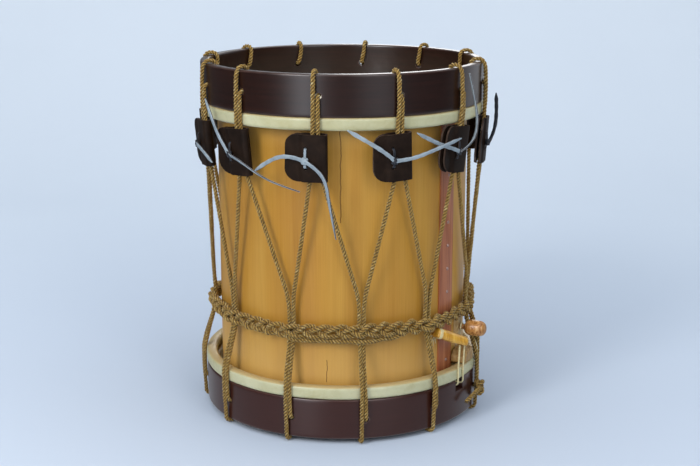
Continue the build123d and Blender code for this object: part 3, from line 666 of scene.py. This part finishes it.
# Tension rope
def pinch(n, side):
    level = TUG_FOOT + PINCH_RISES[n]
    share = (ROPE_BEND_LEVEL - level) / (ROPE_BEND_LEVEL - TUG_FOOT)
    return place(TOP_CROSSINGS[n], TUG_SHIFTS[n] * share + side * PINCH_OFFSET, rope_radius(level), level)


def vee_foot(n, side):
    bottom = BOTTOM_CROSSINGS[n if side < 0 else (n + 1) % COUNT]
    return place(bottom, -side * PAIR_OFFSET, rope_radius(VEE_FOOT), VEE_FOOT)


def step_toward(a, b, distance):
    return a + (b - a).normalized() * distance


def tug_name(n):
    return f"tug_{n + 1:02d}"


ROPE_STEP = 1.3
for n, angle in enumerate(TOP_CROSSINGS):
    sway = 0.6 * sin(n * 2.4)
    left, right = -1.2 + sway, PAIR_OFFSET
    over_rim = [
        (-2.4, ROPE_OUT + 0.6, ROPE_BEND_LEVEL + 4),
        (left, ROPE_OUT + 1.8, UPPER_HOLES - 16),
        (left, ROPE_OUT + 1.2, UPPER_HOLES + 4),
        (left, ROPE_OUT, RIM_LEVEL),
        (left, ROPE_IN, RIM_LEVEL),
        (0, ROPE_IN, (RIM_LEVEL + UPPER_HOLES) / 2),
        (right, ROPE_IN, UPPER_HOLES + 1),
        (right, ROPE_OUT, UPPER_HOLES + 1),
        (right, ROPE_OUT, UPPER_HOLES - 14),
        (right, ROPE_OUT, ROPE_BEND_LEVEL + 4),
    ]
    ends = [(pinch(n, side), step_toward(pinch(n, side), vee_foot(n, side), 3)) for side in (-1, 1)]
    route = [*ends[0][::-1], *(place(angle, *point) for point in over_rim), *ends[1]]
    loop = rope_mesh(f"rope_top_{n + 1:02d}", [spline_line(route, ROPE_STEP)])
    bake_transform(loop)
    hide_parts("rope_top_loops")
    legs = []
    for side in (-1, 1):
        top, foot = pinch(n, side), vee_foot(n, side)
        bottom = BOTTOM_CROSSINGS[n if side < 0 else (n + 1) % COUNT]
        route = [
            step_toward(top, foot, -1),
            step_toward(top, foot, 8),
            step_toward(foot, top, 30),
            place(bottom, -side * TIGHT_PAIR, rope_radius(VEE_FOOT), VEE_FOOT),
            place(bottom, -side * TIGHT_PAIR, GIRDLE_RADIUS, GIRDLE_LEVEL),
            place(bottom, -side * TIGHT_PAIR, GIRDLE_RADIUS, GIRDLE_LEVEL - 4),
        ]
        legs.append(spline_line(route, ROPE_STEP))
    vee = rope_mesh(f"rope_vee_{n + 1:02d}", legs)
    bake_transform(vee)
    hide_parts("rope_legs")

FLESH_EDGE = LOWER_HOOP_TOP + FLESH_HEIGHT
lines = []
for n, angle in enumerate(BOTTOM_CROSSINGS):
    left, right = -1.2 + 0.5 * sin(n * 1.7), PAIR_OFFSET
    points = [
        (-TIGHT_PAIR, GIRDLE_RADIUS, GIRDLE_LEVEL + 4),
        (-TIGHT_PAIR + 0.5, GIRDLE_RADIUS, GIRDLE_LEVEL - 8),
        (-1.6, ROPE_OUT + 1.6, FLESH_EDGE + 6),
        (left, ROPE_OUT + 2.2, FLESH_EDGE - 12),
        (left, ROPE_OUT + 1.4, LOWER_HOLES + 2),
        (left, ROPE_OUT, EDGE_LEVEL + 12),
        (left, ROPE_OUT, EDGE_LEVEL),
        (left, ROPE_IN, EDGE_LEVEL),
        (0, ROPE_IN, (EDGE_LEVEL + LOWER_HOLES) / 2),
        (right, ROPE_IN, LOWER_HOLES - 1),
        (right, ROPE_OUT, LOWER_HOLES - 1),
        (right, ROPE_OUT, LOWER_HOLES + 14),
        (right - 0.4, ROPE_OUT + 0.2, FLESH_EDGE - 8),
        (2.0, ROPE_OUT - 1.4, FLESH_EDGE + 6),
        (TIGHT_PAIR - 0.5, GIRDLE_RADIUS, GIRDLE_LEVEL - 8),
        (TIGHT_PAIR, GIRDLE_RADIUS, GIRDLE_LEVEL + 4),
    ]
    route = [place(angle, *point) for point in points]
    lines.append(spline_line(route, ROPE_STEP))
stands_for(rope_mesh("rope_bottom", lines), "root", "rope_bottom_loops")

# Girdle: the spare rope plaited round the pairs, and lifted where it passes them
PLAITS = 19
PLAIT_WIDTH = 6.6
PLAIT_DEPTH = 2.6
PLAIT_STEPS = 1500
UNDER_STEPS = 160


def near_pair(angle):
    """1 on a pair of ropes, 0 between pairs."""
    gap = min(abs((angle - crossing + 180) % 360 - 180) for crossing in BOTTOM_CROSSINGS)
    return exp(-((gap / 5.0) ** 2))


rng = random.Random(21)
wobbles = [[(rng.uniform(0, 6.28), rng.choice([7, 11, 17, 23, 31, 43])) for _ in range(5)] for _ in range(4)]


def wobble(strand, angle, amount):
    a = radians(angle)
    return amount * sum(sin(a * k + phase) for phase, k in wobbles[strand]) / 2


strands = []
for strand in range(3):
    line = []
    for k in range(PLAIT_STEPS):
        angle = 360 * k / PLAIT_STEPS
        turn = radians(angle) * PLAITS + strand * 2 * pi / 3 + wobble(3, angle, 0.25)
        radius = GIRDLE_RADIUS + 2.2 + 3.4 * near_pair(angle)
        radius += PLAIT_DEPTH * sin(2 * turn) + wobble(strand, angle, 0.3)
        level = GIRDLE_LEVEL + PLAIT_WIDTH * sin(turn)
        level += 1.2 * sin(radians(angle) * 5 + 1) + wobble(strand, angle + 40, 0.55)
        line.append(place(angle, 0, radius, level)[:])
    strands.append(np.array(line + line[:1]))
# A spare strand runs along under the plait at the front
under = []
for k in range(UNDER_STEPS):
    angle = -24 + 50 * k / (UNDER_STEPS - 1)
    end = min(k, UNDER_STEPS - 1 - k) / 22
    level = GIRDLE_LEVEL - 11.5 + 5.5 * max(0.0, 1 - end) ** 2 + wobble(0, angle, 0.5)
    under.append(place(angle, 0, GIRDLE_RADIUS + 1.5 + 3.6 * near_pair(angle), level)[:])
strands.append(np.array(under))
stands_for(rope_mesh("girdle_plait", strands, diameter=6.0, around_count=15), "root", "girdle")


# Tugs
def tug_matrix(n):
    """Place of a tug: X across the legs, Y up along them, Z outward, in millimetres."""
    foot = place(TOP_CROSSINGS[n], TUG_SHIFTS[n], rope_radius(TUG_FOOT), TUG_FOOT)
    bend = place(TOP_CROSSINGS[n], 0, ROPE_OUT, ROPE_BEND_LEVEL)
    up = (bend - foot).normalized()
    a = radians(TOP_CROSSINGS[n])
    outward = Vector((cos(a), sin(a), 0)).cross(up).normalized()
    middle = foot + up * ((TUG_HEIGHT / 2) / up.z)
    axes = Matrix((up.cross(outward), up, outward)).transposed().to_4x4()
    return Matrix.Translation(middle) @ axes


def tug_section(count):
    """Middle line of the folded strip, from the back flap's edge round the fold to the front flap's edge."""
    reach, squeeze, centre = FOLD_RADIUS, 1.85, 9.0
    flap = [(-36, squeeze), (-22, squeeze), (-18, squeeze * 1.1), (-14, reach * 0.93)]
    flap += [(-10, reach), (5, reach)]
    turns = [-pi / 2 + pi * k / 8 for k in range(1, 8)]
    fold = [(centre + reach * cos(a), reach * sin(a)) for a in turns]
    points = [(x, -z) for x, z in flap] + fold + flap[::-1]
    line = spline_line([(x, z, 0) for x, z in points], 1.0)
    steps = np.linspace(0, len(line) - 1, count)
    return np.stack([np.interp(steps, range(len(line)), line[:, k]) for k in range(2)], 1)


def flap_edge(y, top_round, bottom_round, reach):
    """How far left the flap reaches at a height above the tug's middle."""
    half = TUG_HEIGHT / 2
    for size, past in ((bottom_round, bottom_round - half - y), (top_round, y - half + top_round)):
        if past > 0:
            reach -= size - sqrt(max(0, size**2 - past**2))
    return -reach


# How far the flaps of some tugs reach, measured from the middle of the legs
BACK_REACH, FRONT_REACH = {3: 31.0, 4: 35.5}, {4: 31.0}
SPREAD = pi / 2 * 0.93


def tug_object(n):
    rng = random.Random(100 + n)
    half = TUG_HEIGHT / 2
    rows, columns = 57, 97
    section = tug_section(400)
    places = range(len(section))
    back_reach = BACK_REACH.get(n, 33.5 + rng.uniform(-1.5, 1.5))
    front_reach = FRONT_REACH.get(n, 34.5)
    top_round, bottom_round = 11 + rng.uniform(-1, 1.5), 18 + rng.uniform(-2, 1.5)
    curl = rng.uniform(0.5, 2.0)
    bulge = rng.uniform(0.2, 0.8)
    vertices = []
    fold = np.argmax(section[:, 0])
    for y in half * np.sin(np.linspace(-SPREAD, SPREAD, rows)) / sin(SPREAD):
        left = flap_edge(y, top_round, bottom_round, front_reach)
        left_back = flap_edge(y + rng.uniform(-0.02, 0.02), top_round, bottom_round, back_reach)
        first = np.argmax(section[:fold, 0] >= left_back)
        last = fold + np.argmax(section[fold:, 0] <= left)
        for k in np.linspace(first, last, columns):
            x, z = (np.interp(k, places, section[:, axis]) for axis in range(2))
            front = k > fold
            outer = ease((-14 - x) / 20)
            lift = curl * outer * (1 if front else -0.25) * (0.5 + 0.5 * abs(y) / half)
            puff = 0.4 * bulge * cos(y / half * 1.3) * (1 if front else -1) * ease((x + 14) / 10)
            skew = 0.03 * (y - 2) * (1 if front else 0.4) * outer
            vertices.append((x + skew, y, z + lift + puff))
    made = mesh_object(f"{tug_name(n)}_leather", vertices, grid_faces(rows, columns, 0, False), TUG)
    made.data.materials.append(RAW)
    solid = made.modifiers.new("solid", "SOLIDIFY")
    solid.thickness = LEATHER * 0.92 * MM
    solid.offset = 0
    solid.material_offset_rim = 1
    solid.use_even_offset = True
    soft = made.modifiers.new("soft", "BEVEL")
    soft.width = 0.45 * MM
    soft.segments = 2
    soft.limit_method = "ANGLE"
    soft.angle_limit = radians(50)
    apply_modifiers(made)
    hole = {"radius1": 2.1 * MM, "radius2": 2.1 * MM, "depth": 0.04}
    for level in (LACE_PITCH / 2, -LACE_PITCH / 2):
        bm = bmesh.new()
        bmesh.ops.create_cone(bm, cap_ends=True, segments=20, **hole)
        cut_away(made, bm, (-LACE_OFFSET * MM, level * MM, 0))
    made.data.transform(Matrix.Scale(MM, 4) @ tug_matrix(n) @ Matrix.Scale(1 / MM, 4))
    smooth(made.data)
    stands_for(made, tug_name(n), tug_name(n))


for n in range(COUNT):
    tug_object(n)


# Laces
THONG_OUTLINE = [(-1, -0.55), (-0.9, -1), (0, -1), (0.9, -1), (1, -0.55)]
THONG_OUTLINE += [(-x, -z) for x, z in THONG_OUTLINE]
RAW_SIDES = (4, 9)


def thong_mesh(name, line, width, thick, facing, material, turns=(0, 0), taper=0.0, raw=True):
    """A flat leather thong along a line.

    facing gives the direction that its flat side turns to at each point, turns how far it twists from that
    at its start and its end, in degrees, and taper how much narrower it is at its tip.
    """
    rows, count = len(line), len(THONG_OUTLINE)
    vertices = []
    for i, (centre, tangent) in enumerate(zip(line, tangents_along(line))):
        out = np.array(facing[i], float)
        out = out - tangent * out.dot(tangent)
        out /= np.linalg.norm(out)
        side = np.cross(out, tangent)
        along = i / (rows - 1)
        turn = radians(turns[0] + (turns[1] - turns[0]) * along)
        flat, face = side * cos(turn) + out * sin(turn), out * cos(turn) - side * sin(turn)
        narrow = 1 - taper * max(0, (along - 0.86) / 0.14) ** 1.5
        wide = width / 2 * narrow * (1 + 0.06 * sin(i * 0.9) + 0.04 * sin(i * 0.37 + 1))
        vertices += [centre + flat * x * wide + face * z * thick / 2 for x, z in THONG_OUTLINE]
    made = mesh_object(name, vertices, grid_faces(rows, count) + ring_ends(rows, count), material)
    if raw:
        made.data.materials.append(RAW)
        for polygon in made.data.polygons[: (rows - 1) * count]:
            if polygon.index % count in RAW_SIDES:
                polygon.material_index = 1
    return made


def knot_centre(n):
    return tug_matrix(n) @ Vector((-LACE_OFFSET, -KNOT_DROP, KNOT_REACH))


# Knots in pale thong on the tugs where they show their flesh side, dark on the others
PALE_KNOTS = {2}
LACE_REACH = FOLD_RADIUS + LEATHER / 2 + 1.2


def join(objects, name):
    """One object from several."""
    bm = bmesh.new()
    materials = []
    for made in objects:
        for material in made.data.materials:
            if material not in materials:
                materials.append(material)
    for made in objects:
        order = [materials.index(material) for material in made.data.materials]
        for polygon in made.data.polygons:
            polygon.material_index = order[polygon.material_index]
        bm.from_mesh(made.data)
        bpy.data.objects.remove(made)
    mesh = bpy.data.meshes.new(name)
    bm.to_mesh(mesh)
    bm.free()
    for material in materials:
        mesh.materials.append(material)
    smooth(mesh)
    return scene_object(name, mesh)


def lace_object(n):
    """A loop through the tug's two holes, three turns of the knot round it, and a strip across the knot."""
    rng = random.Random(40 + n)
    matrix = tug_matrix(n)
    pale = n in PALE_KNOTS
    rise, reach = LACE_PITCH / 2, LACE_REACH
    x, knot_out = -LACE_OFFSET, LACE_REACH + 1.6

    def strip(points, width, thick, spacing, outward):
        line = spline_line([matrix @ Vector(p) for p in points], spacing)
        local = [matrix.inverted() @ Vector(p) for p in line]
        facing = [matrix.to_3x3() @ Vector(outward(p)) for p in local]
        return thong_mesh("part", line, width, thick, facing, THONG if pale else DARK_THONG, raw=not pale)

    def off_leather(p):
        """Outward from the leather, or up and down where the loop passes through a hole."""
        if abs(p[1]) < rise - 0.5:
            return 0.01, p[1] * 0.6, 1.0 if p[2] > 0 else -1.0
        return 0, 1 if p[1] > 0 else -1, 0.05

    stand = reach + 0.9
    loop = [
        (x, 0, stand),
        (x + 0.3, rise * 0.7, stand - 0.3),
        (x, rise, reach - 0.8),
        (x, rise, -reach),
        (x, 0, -reach - 0.2),
        (x, -rise, -reach),
        (x, -rise, reach - 0.8),
        (x - 0.3, -rise * 0.7, stand - 0.3),
        (x, -0.5, stand),
    ]
    parts = [strip(loop, 3.0, 1.3, 0.8, off_leather)]
    for k in (-1, 0, 1):
        height = -KNOT_DROP + k * 2.3
        size = 3.1 - 0.2 * abs(k)
        tilt = rng.uniform(-1.4, 1.4)
        turns = [(cos(a), sin(a)) for a in np.linspace(0.3, 2 * pi + 0.3, 9)]
        ring = [(x + size * c, height + tilt * c, knot_out + size * 0.85 * s) for c, s in turns]
        parts.append(strip(ring, 2.6, 1.2, 0.7, lambda p: (p[0] - x, 0.0, p[2] - knot_out)))
    cross = [
        (x - 3.6, -KNOT_DROP - 2.6, reach + 1.8),
        (x - 1.5, -KNOT_DROP - 1.4, reach + 4.2),
        (x + 1.5, -KNOT_DROP + 1.4, reach + 4.4),
        (x + 3.6, -KNOT_DROP + 2.6, reach + 1.8),
    ]
    parts.append(strip(cross, 2.6, 1.2, 0.7, lambda p: (0, 0, 1)))
    stands_for(join(parts, f"lace_{n + 1:02d}_tied"), tug_name(n), f"lace_{n + 1:02d}")


for n in range(COUNT):
    lace_object(n)

# Tails of the laces: (angle from the crossing, radius, level)
ACROSS_LEFT = [(-8.0, 191.8, 355.5), (-15.5, 191.5, 350.0), (-22.5, 189.5, 333.0)]
FALLING = [(0.8, 193.5, 342.5), (4.4, 193.5, 327.0), (5.4, 189.5, 299.0), (7.7, 187.0, 257.0)]
UP_LEFT = [(-4.0, 190.8, 356.0), (-6.8, 191.5, 366.0), (-12.0, 189.5, 383.5), (-18.8, 187.5, 408.0)]
FAR_RIGHT = [(4.0, 193.5, 343.5), (12.0, 197.0, 332.0), (20.0, 199.5, 322.0), (28.4, 199.5, 315.0)]
ROUND_LEFT = [(2.0, 193.5, 351.0), (9.5, 196.0, 347.0), (16.0, 195.5, 335.5)]
STRAIGHT_LEFT = [(-5.8, 191.8, 357.5), (-11.5, 192.5, 370.0), (-19.5, 190.5, 385.5)]
OVER_RIGHT = [(0.2, 192.0, 349.0), (4.6, 195.5, 351.5), (11.5, 200.0, 359.5), (22.5, 201.5, 369.0)]
CROSSED_LEFT = [(-7.4, 191.5, 354.5), (-16.3, 193.0, 364.0), (-24.6, 190.0, 379.0)]
OVER_HOOP = [(0.4, 194.5, 356.0), (3.8, 196.5, 375.0), (4.4, 192.5, 405.0), (1.4, 188.5, 441.0)]
STANDING = [(-1.4, 194.5, 359.0), (-0.4, 197.5, 383.0), (0.0, 195.5, 409.0)]
DROOP_LEFT = [(-8.6, 193.5, 345.5), (-13.0, 192.5, 330.0), (-13.8, 189.0, 299.0)]
DROOP_RIGHT = [(2.6, 193.5, 352.5), (9.0, 194.0, 344.5), (12.6, 190.5, 325.0)]
SHORT_LEFT = [(-6.2, 191.2, 355.0), (-9.6, 192.0, 362.5), (-13.2, 190.5, 375.0)]
SHORT_DOWN = [(-0.6, 193.2, 336.5), (0.2, 191.5, 316.0), (-2.0, 188.0, 282.0)]
TAILS = [
    [ROUND_LEFT],
    [UP_LEFT, FAR_RIGHT],
    [ACROSS_LEFT, FALLING],
    [STRAIGHT_LEFT, OVER_RIGHT],
    [CROSSED_LEFT, OVER_HOOP],
    [STANDING],
    [DROOP_RIGHT],
    [SHORT_LEFT, SHORT_DOWN],
    [DROOP_LEFT, DROOP_RIGHT],
    [SHORT_LEFT, SHORT_DOWN],
    [DROOP_LEFT, SHORT_DOWN],
    [DROOP_LEFT],
]
TAIL_WIDTH, TAIL_THICKNESS = 4.6, 1.5
# How some tails turn about their own line, from the knot to the tip, in degrees
TURNS = {(1, 1): (30, 75), (2, 1): (10, 80), (4, 1): (60, 55), (5, 0): (60, 85), (3, 1): (0, 15)}
DARK_TAIL = (5, 0)


for n, tails in enumerate(TAILS):
    for k, tail in enumerate(tails):
        route = [knot_centre(n)]
        route += [place(TOP_CROSSINGS[n] + turn, 0, radius, level) for turn, radius, level in tail]
        line = spline_line(route, 1.5)
        facing = [(p[0], p[1], 0) for p in line]
        turns = TURNS.get((n, k), (0, 12 * sin(n + k)))
        material = DARK_THONG if (n, k) == DARK_TAIL else THONG
        name = f"lace_tail_{n + 1:02d}_{k + 1}"
        thong = thong_mesh(name, line, TAIL_WIDTH, TAIL_THICKNESS, facing, material, turns, taper=0.75)
        stands_for(thong, tug_name(n), f"lace_tails_{n + 1:02d}")

# Toggle: a half-round bar of yellow wood with gut wound round its left end
toggle_from, toggle_to = place(43.0, 0, 167.0, 122.6), place(57.0, 0, 184.0, 102.8)
toggle_along = (toggle_to - toggle_from).normalized()
toggle_across = toggle_along.cross(place(50.0, 0, 1, 0)).normalized()
toggle_out = toggle_across.cross(toggle_along) * -1
toggle_length = (toggle_to - toggle_from).length
TOGGLE_RADIUS = 7.6
vertices = []
rows, columns = 34, 28
for i in range(rows):
    s = i / (rows - 1)
    middle = toggle_from + toggle_along * (toggle_length * s)
    end = min(s * toggle_length / 2.2, (1 - s) * toggle_length / 5.0, 1.0)
    size = TOGGLE_RADIUS * (0.45 + 0.55 * sqrt(max(0.0, 1 - (1 - end) ** 2))) * (1 + 0.05 * sin(s * 6))
    for j in range(columns):
        a = 2 * pi * j / columns
        up, out = sin(a), cos(a)
        up = max(up, -0.6 + 0.06 * sin(s * 9))
        vertices.append(middle - toggle_across * up * size + toggle_out * out * size)
toggle = mesh_object("toggle_bar", vertices, grid_faces(rows, columns) + ring_ends(rows, columns), TOGGLE)
face_outward(toggle.data)
stands_for(toggle, "root", "snare_toggle")


def thread(name, lines, diameter):
    """Thin round gut along lines."""
    vertices, faces = [], []
    for line in lines:
        side, up = frames_along(line)
        start = len(vertices)
        for i, centre in enumerate(line):
            for j in range(8):
                a = 2 * pi * j / 8
                vertices.append(centre + (side[i] * cos(a) + up[i] * sin(a)) * diameter / 2)
        faces += grid_faces(len(line), 8, start) + ring_ends(len(line), 8, start)
    made = mesh_object(name, vertices, faces, GUT_SKIN)
    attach(made, "root")


WINDS = 3.4
winding = []
for k in range(50):
    a = 2 * pi * k / 49 * WINDS
    around_bar = toggle_out * cos(a) - toggle_across * max(sin(a), -0.66)
    winding.append(toggle_from + toggle_along * (2.6 + 5.0 * k / 49) + around_bar * TOGGLE_RADIUS)
loose = toggle_from + toggle_along * 6 + toggle_out * 6
ends = []
for turn, drop, out in ((-5, -13, 3), (-1, -17, 5), (4, -12, 6), (-8, -8, 4)):
    away = loose + toggle_along * turn + Vector((0, 0, drop)) + toggle_out * out
    ends.append(spline_line([loose, (loose + away) / 2 + toggle_out * 3, away], 1.5))
thread("gut_winding", [spline_line(winding, 0.8)], 1.5)
thread("gut_ends", ends, 1.1)

# End of the rope: a knot on the lower hoop, and a loose end
KNOT_RADIUS, KNOT_LEVEL, KNOT_ANGLE = HOOP_OUTSIDE + 8.6, HOOP_BASE + 24.3, BOTTOM_CROSSINGS[5]
knot_at = place(KNOT_ANGLE, 0, KNOT_RADIUS, KNOT_LEVEL)
across, outward = place(KNOT_ANGLE, 1, 0, 0), place(KNOT_ANGLE, 0, 1, 0)
turns = []
for k in range(26):
    a = 2 * pi * k / 25 * 3
    wide = 0.85 * (6.0 + 1.5 * cos(a / 3 * 2))
    rise = Vector((0, 0, 8.0 * cos(a * 2 / 3)))
    turns.append(knot_at + across * wide * sin(a) + outward * 4.2 * cos(a) + rise)
stands_for(rope_mesh("rope_knot", [spline_line(turns, 1.2)], diameter=5.6), "root", "rope_end_knot")

ROPE_END = [(67.5, 189.5, 32.0), (62.0, 189.0, 31.5), (56.5, 186.5, 25.5)]
route = [knot_at] + [place(angle, 0, radius, level) for angle, radius, level in ROPE_END]
line = spline_line(route, ROPE_STEP)
end = rope_mesh("rope_free_end", [line], diameter=ROPE)
stands_for(end, "root", "rope_end")

# Floor and backdrop: a flat sweep that curves up behind the drum. Sizes from here on are in metres
SWEEP_START, SWEEP_RADIUS, SWEEP_TOP = 1.2, 1.2, 6.0


def backdrop_paint():
    """Pale paper, with painted light and shade: darker round the drum and lighter away from it."""
    t = Tree("backdrop_paint")
    # Painted light: the paper brightens with distance from the drum, most on the far floor and the wall
    away = t.span(t.add("VectorMath", {"operation": "LENGTH"}, i0=t.place()).outputs["Value"], 0.2, 2.6)
    mottle = t.ramp(t.noise(2.2, 3, 0.5), (0.4, 0.0), (0.7, 0.04))
    paper_painted_light = t.ramp(away, (0.0, (198, 207, 219)), (0.42, (226, 232, 238)), (1.0, (236, 240, 243)))
    colour = t.mix(mottle, paper_painted_light, (180, 190, 206))
    t.set(Base_Color=colour, Roughness=0.85, Specular_IOR_Level=0.1)
    return t.material


sweep = [(-SWEEP_TOP, 0.0), (SWEEP_START, 0.0)]
for a in np.linspace(0.1, pi / 2, 14):
    sweep.append((SWEEP_START + SWEEP_RADIUS * sin(a), SWEEP_RADIUS * (1 - cos(a))))
sweep.append((SWEEP_START + SWEEP_RADIUS, SWEEP_TOP))
sweep = [Vector((side * SWEEP_TOP, y, z)) / MM for y, z in sweep for side in (-1, 1)]
faces = [(k, k + 1, k + 3, k + 2) for k in range(0, len(sweep) - 2, 2)]
ground = mesh_object("floor", sweep, faces, backdrop_paint())
ground.visible_glossy = False

# What varnish and leather mirror above the floor: (degrees from the front, brightness).
# A lightbox stands on the left, a weaker one on the right, and light walls at the right and behind
ROOM = [(-180, 0.1), (-160, 0.04), (-140, 0.02), (-62, 0.0), (-46, 0.05), (-29, 0.95), (-17, 0.14)]
ROOM += [(-8, 0.03), (8, 0.03), (19, 0.2), (34, 0.26), (48, 0.02), (95, 0.0), (120, 0.2), (145, 0.17)]
ROOM += [(168, 0.07)]
ROOM_STRENGTH, FLOOR_STRENGTH, SKY_STRENGTH = 5.0, 0.66, 0.77
# The upward part of a direction, where the mirrored floor ends and where the room begins
FLOOR_END, ROOM_START = -0.34, -0.18


class Sky(Tree):
    """The world's nodes."""

    def __init__(self):
        world = bpy.data.worlds.new("studio")
        world.use_nodes = True
        bpy.context.scene.world = world
        self.nodes, self.links = world.node_tree.nodes, world.node_tree.links

    def glow(self, colour, strength):
        return self.add("Background", Color=colour, Strength=strength).outputs[0]

    def blend(self, factor, a, b):
        return self.add("MixShader", Fac=factor, i1=a, i2=b).outputs[0]


def room_light():
    """Even light from all round, and lightboxes and floor for what mirrors."""
    t = Sky()
    x, y, up = t.add("SeparateXYZ", Vector=t.add("TexCoord").outputs["Generated"]).outputs
    azimuth = t.math("ARCTAN2", x, t.math("MULTIPLY", y, -1.0))
    walls = t.add("ValToRGB", Fac=t.span(azimuth, -pi, pi))
    # The ramp's own last stop, white, stands behind the drum
    stops = walls.color_ramp.elements
    for number, (angle, bright) in enumerate(ROOM):
        stop = stops.new(angle / 360 + 0.5) if number else stops[0]
        stop.color = (bright * 0.88, bright * 0.93, bright, 1)
    room = t.glow(walls.outputs["Color"], ROOM_STRENGTH)
    floor = t.glow(linear(226, 234, 246), FLOOR_STRENGTH)
    mirrored = t.blend(t.span(up, FLOOR_END, ROOM_START), floor, room)
    even = t.glow(linear(214, 228, 246), SKY_STRENGTH)
    seen = t.blend(t.add("LightPath").outputs["Is Glossy Ray"], even, mirrored)
    t.links.new(seen, t.nodes["World Output"].inputs["Surface"])


room_light()
DRUM_MIDDLE = Vector((0, 0, 0.23))


def aim(light, target):
    light.rotation_euler = (target - light.location).to_track_quat("-Z", "Y").to_euler()


def softbox(name, azimuth, elevation, distance, size, power, colour=(1, 1, 1)):
    """A rectangular light round the drum, turned to it."""
    light = bpy.data.lights.new(name, "AREA")
    light.shape = "RECTANGLE"
    light.size, light.size_y = size
    light.energy = power
    light.color = colour
    made = scene_object(name, light)
    a, e = radians(azimuth), radians(elevation)
    way = Vector((sin(a) * cos(e), -cos(a) * cos(e), sin(e)))
    made.location = DRUM_MIDDLE + way * distance
    aim(made, DRUM_MIDDLE)
    return made


softbox("left_softbox", -38, 30, 2.2, (0.6, 1.0), 21)
softbox("right_softbox", 24, 30, 2.2, (0.6, 1.0), 8.3)
softbox("overhead", 0, 75, 2.0, (2.0, 1.6), 9)
wall_light = softbox("wall_light", 180, 60, 2.2, (3.5, 0.8), 4.6, (1.0, 0.98, 0.95))
aim(wall_light, Vector((0.4, 2.3, 0.2)))

camera = scene_object("camera", bpy.data.cameras.new("camera"))
camera.data.lens = 69.33
camera.data.sensor_width = 36
camera.location = (0, -1.7022, 0.6312)
camera.rotation_euler = (pi / 2 - 0.2371, 0, -0.0058)
camera.data.clip_end = 50
bpy.context.scene.camera = camera
bpy.context.scene.view_settings.view_transform = "Standard"
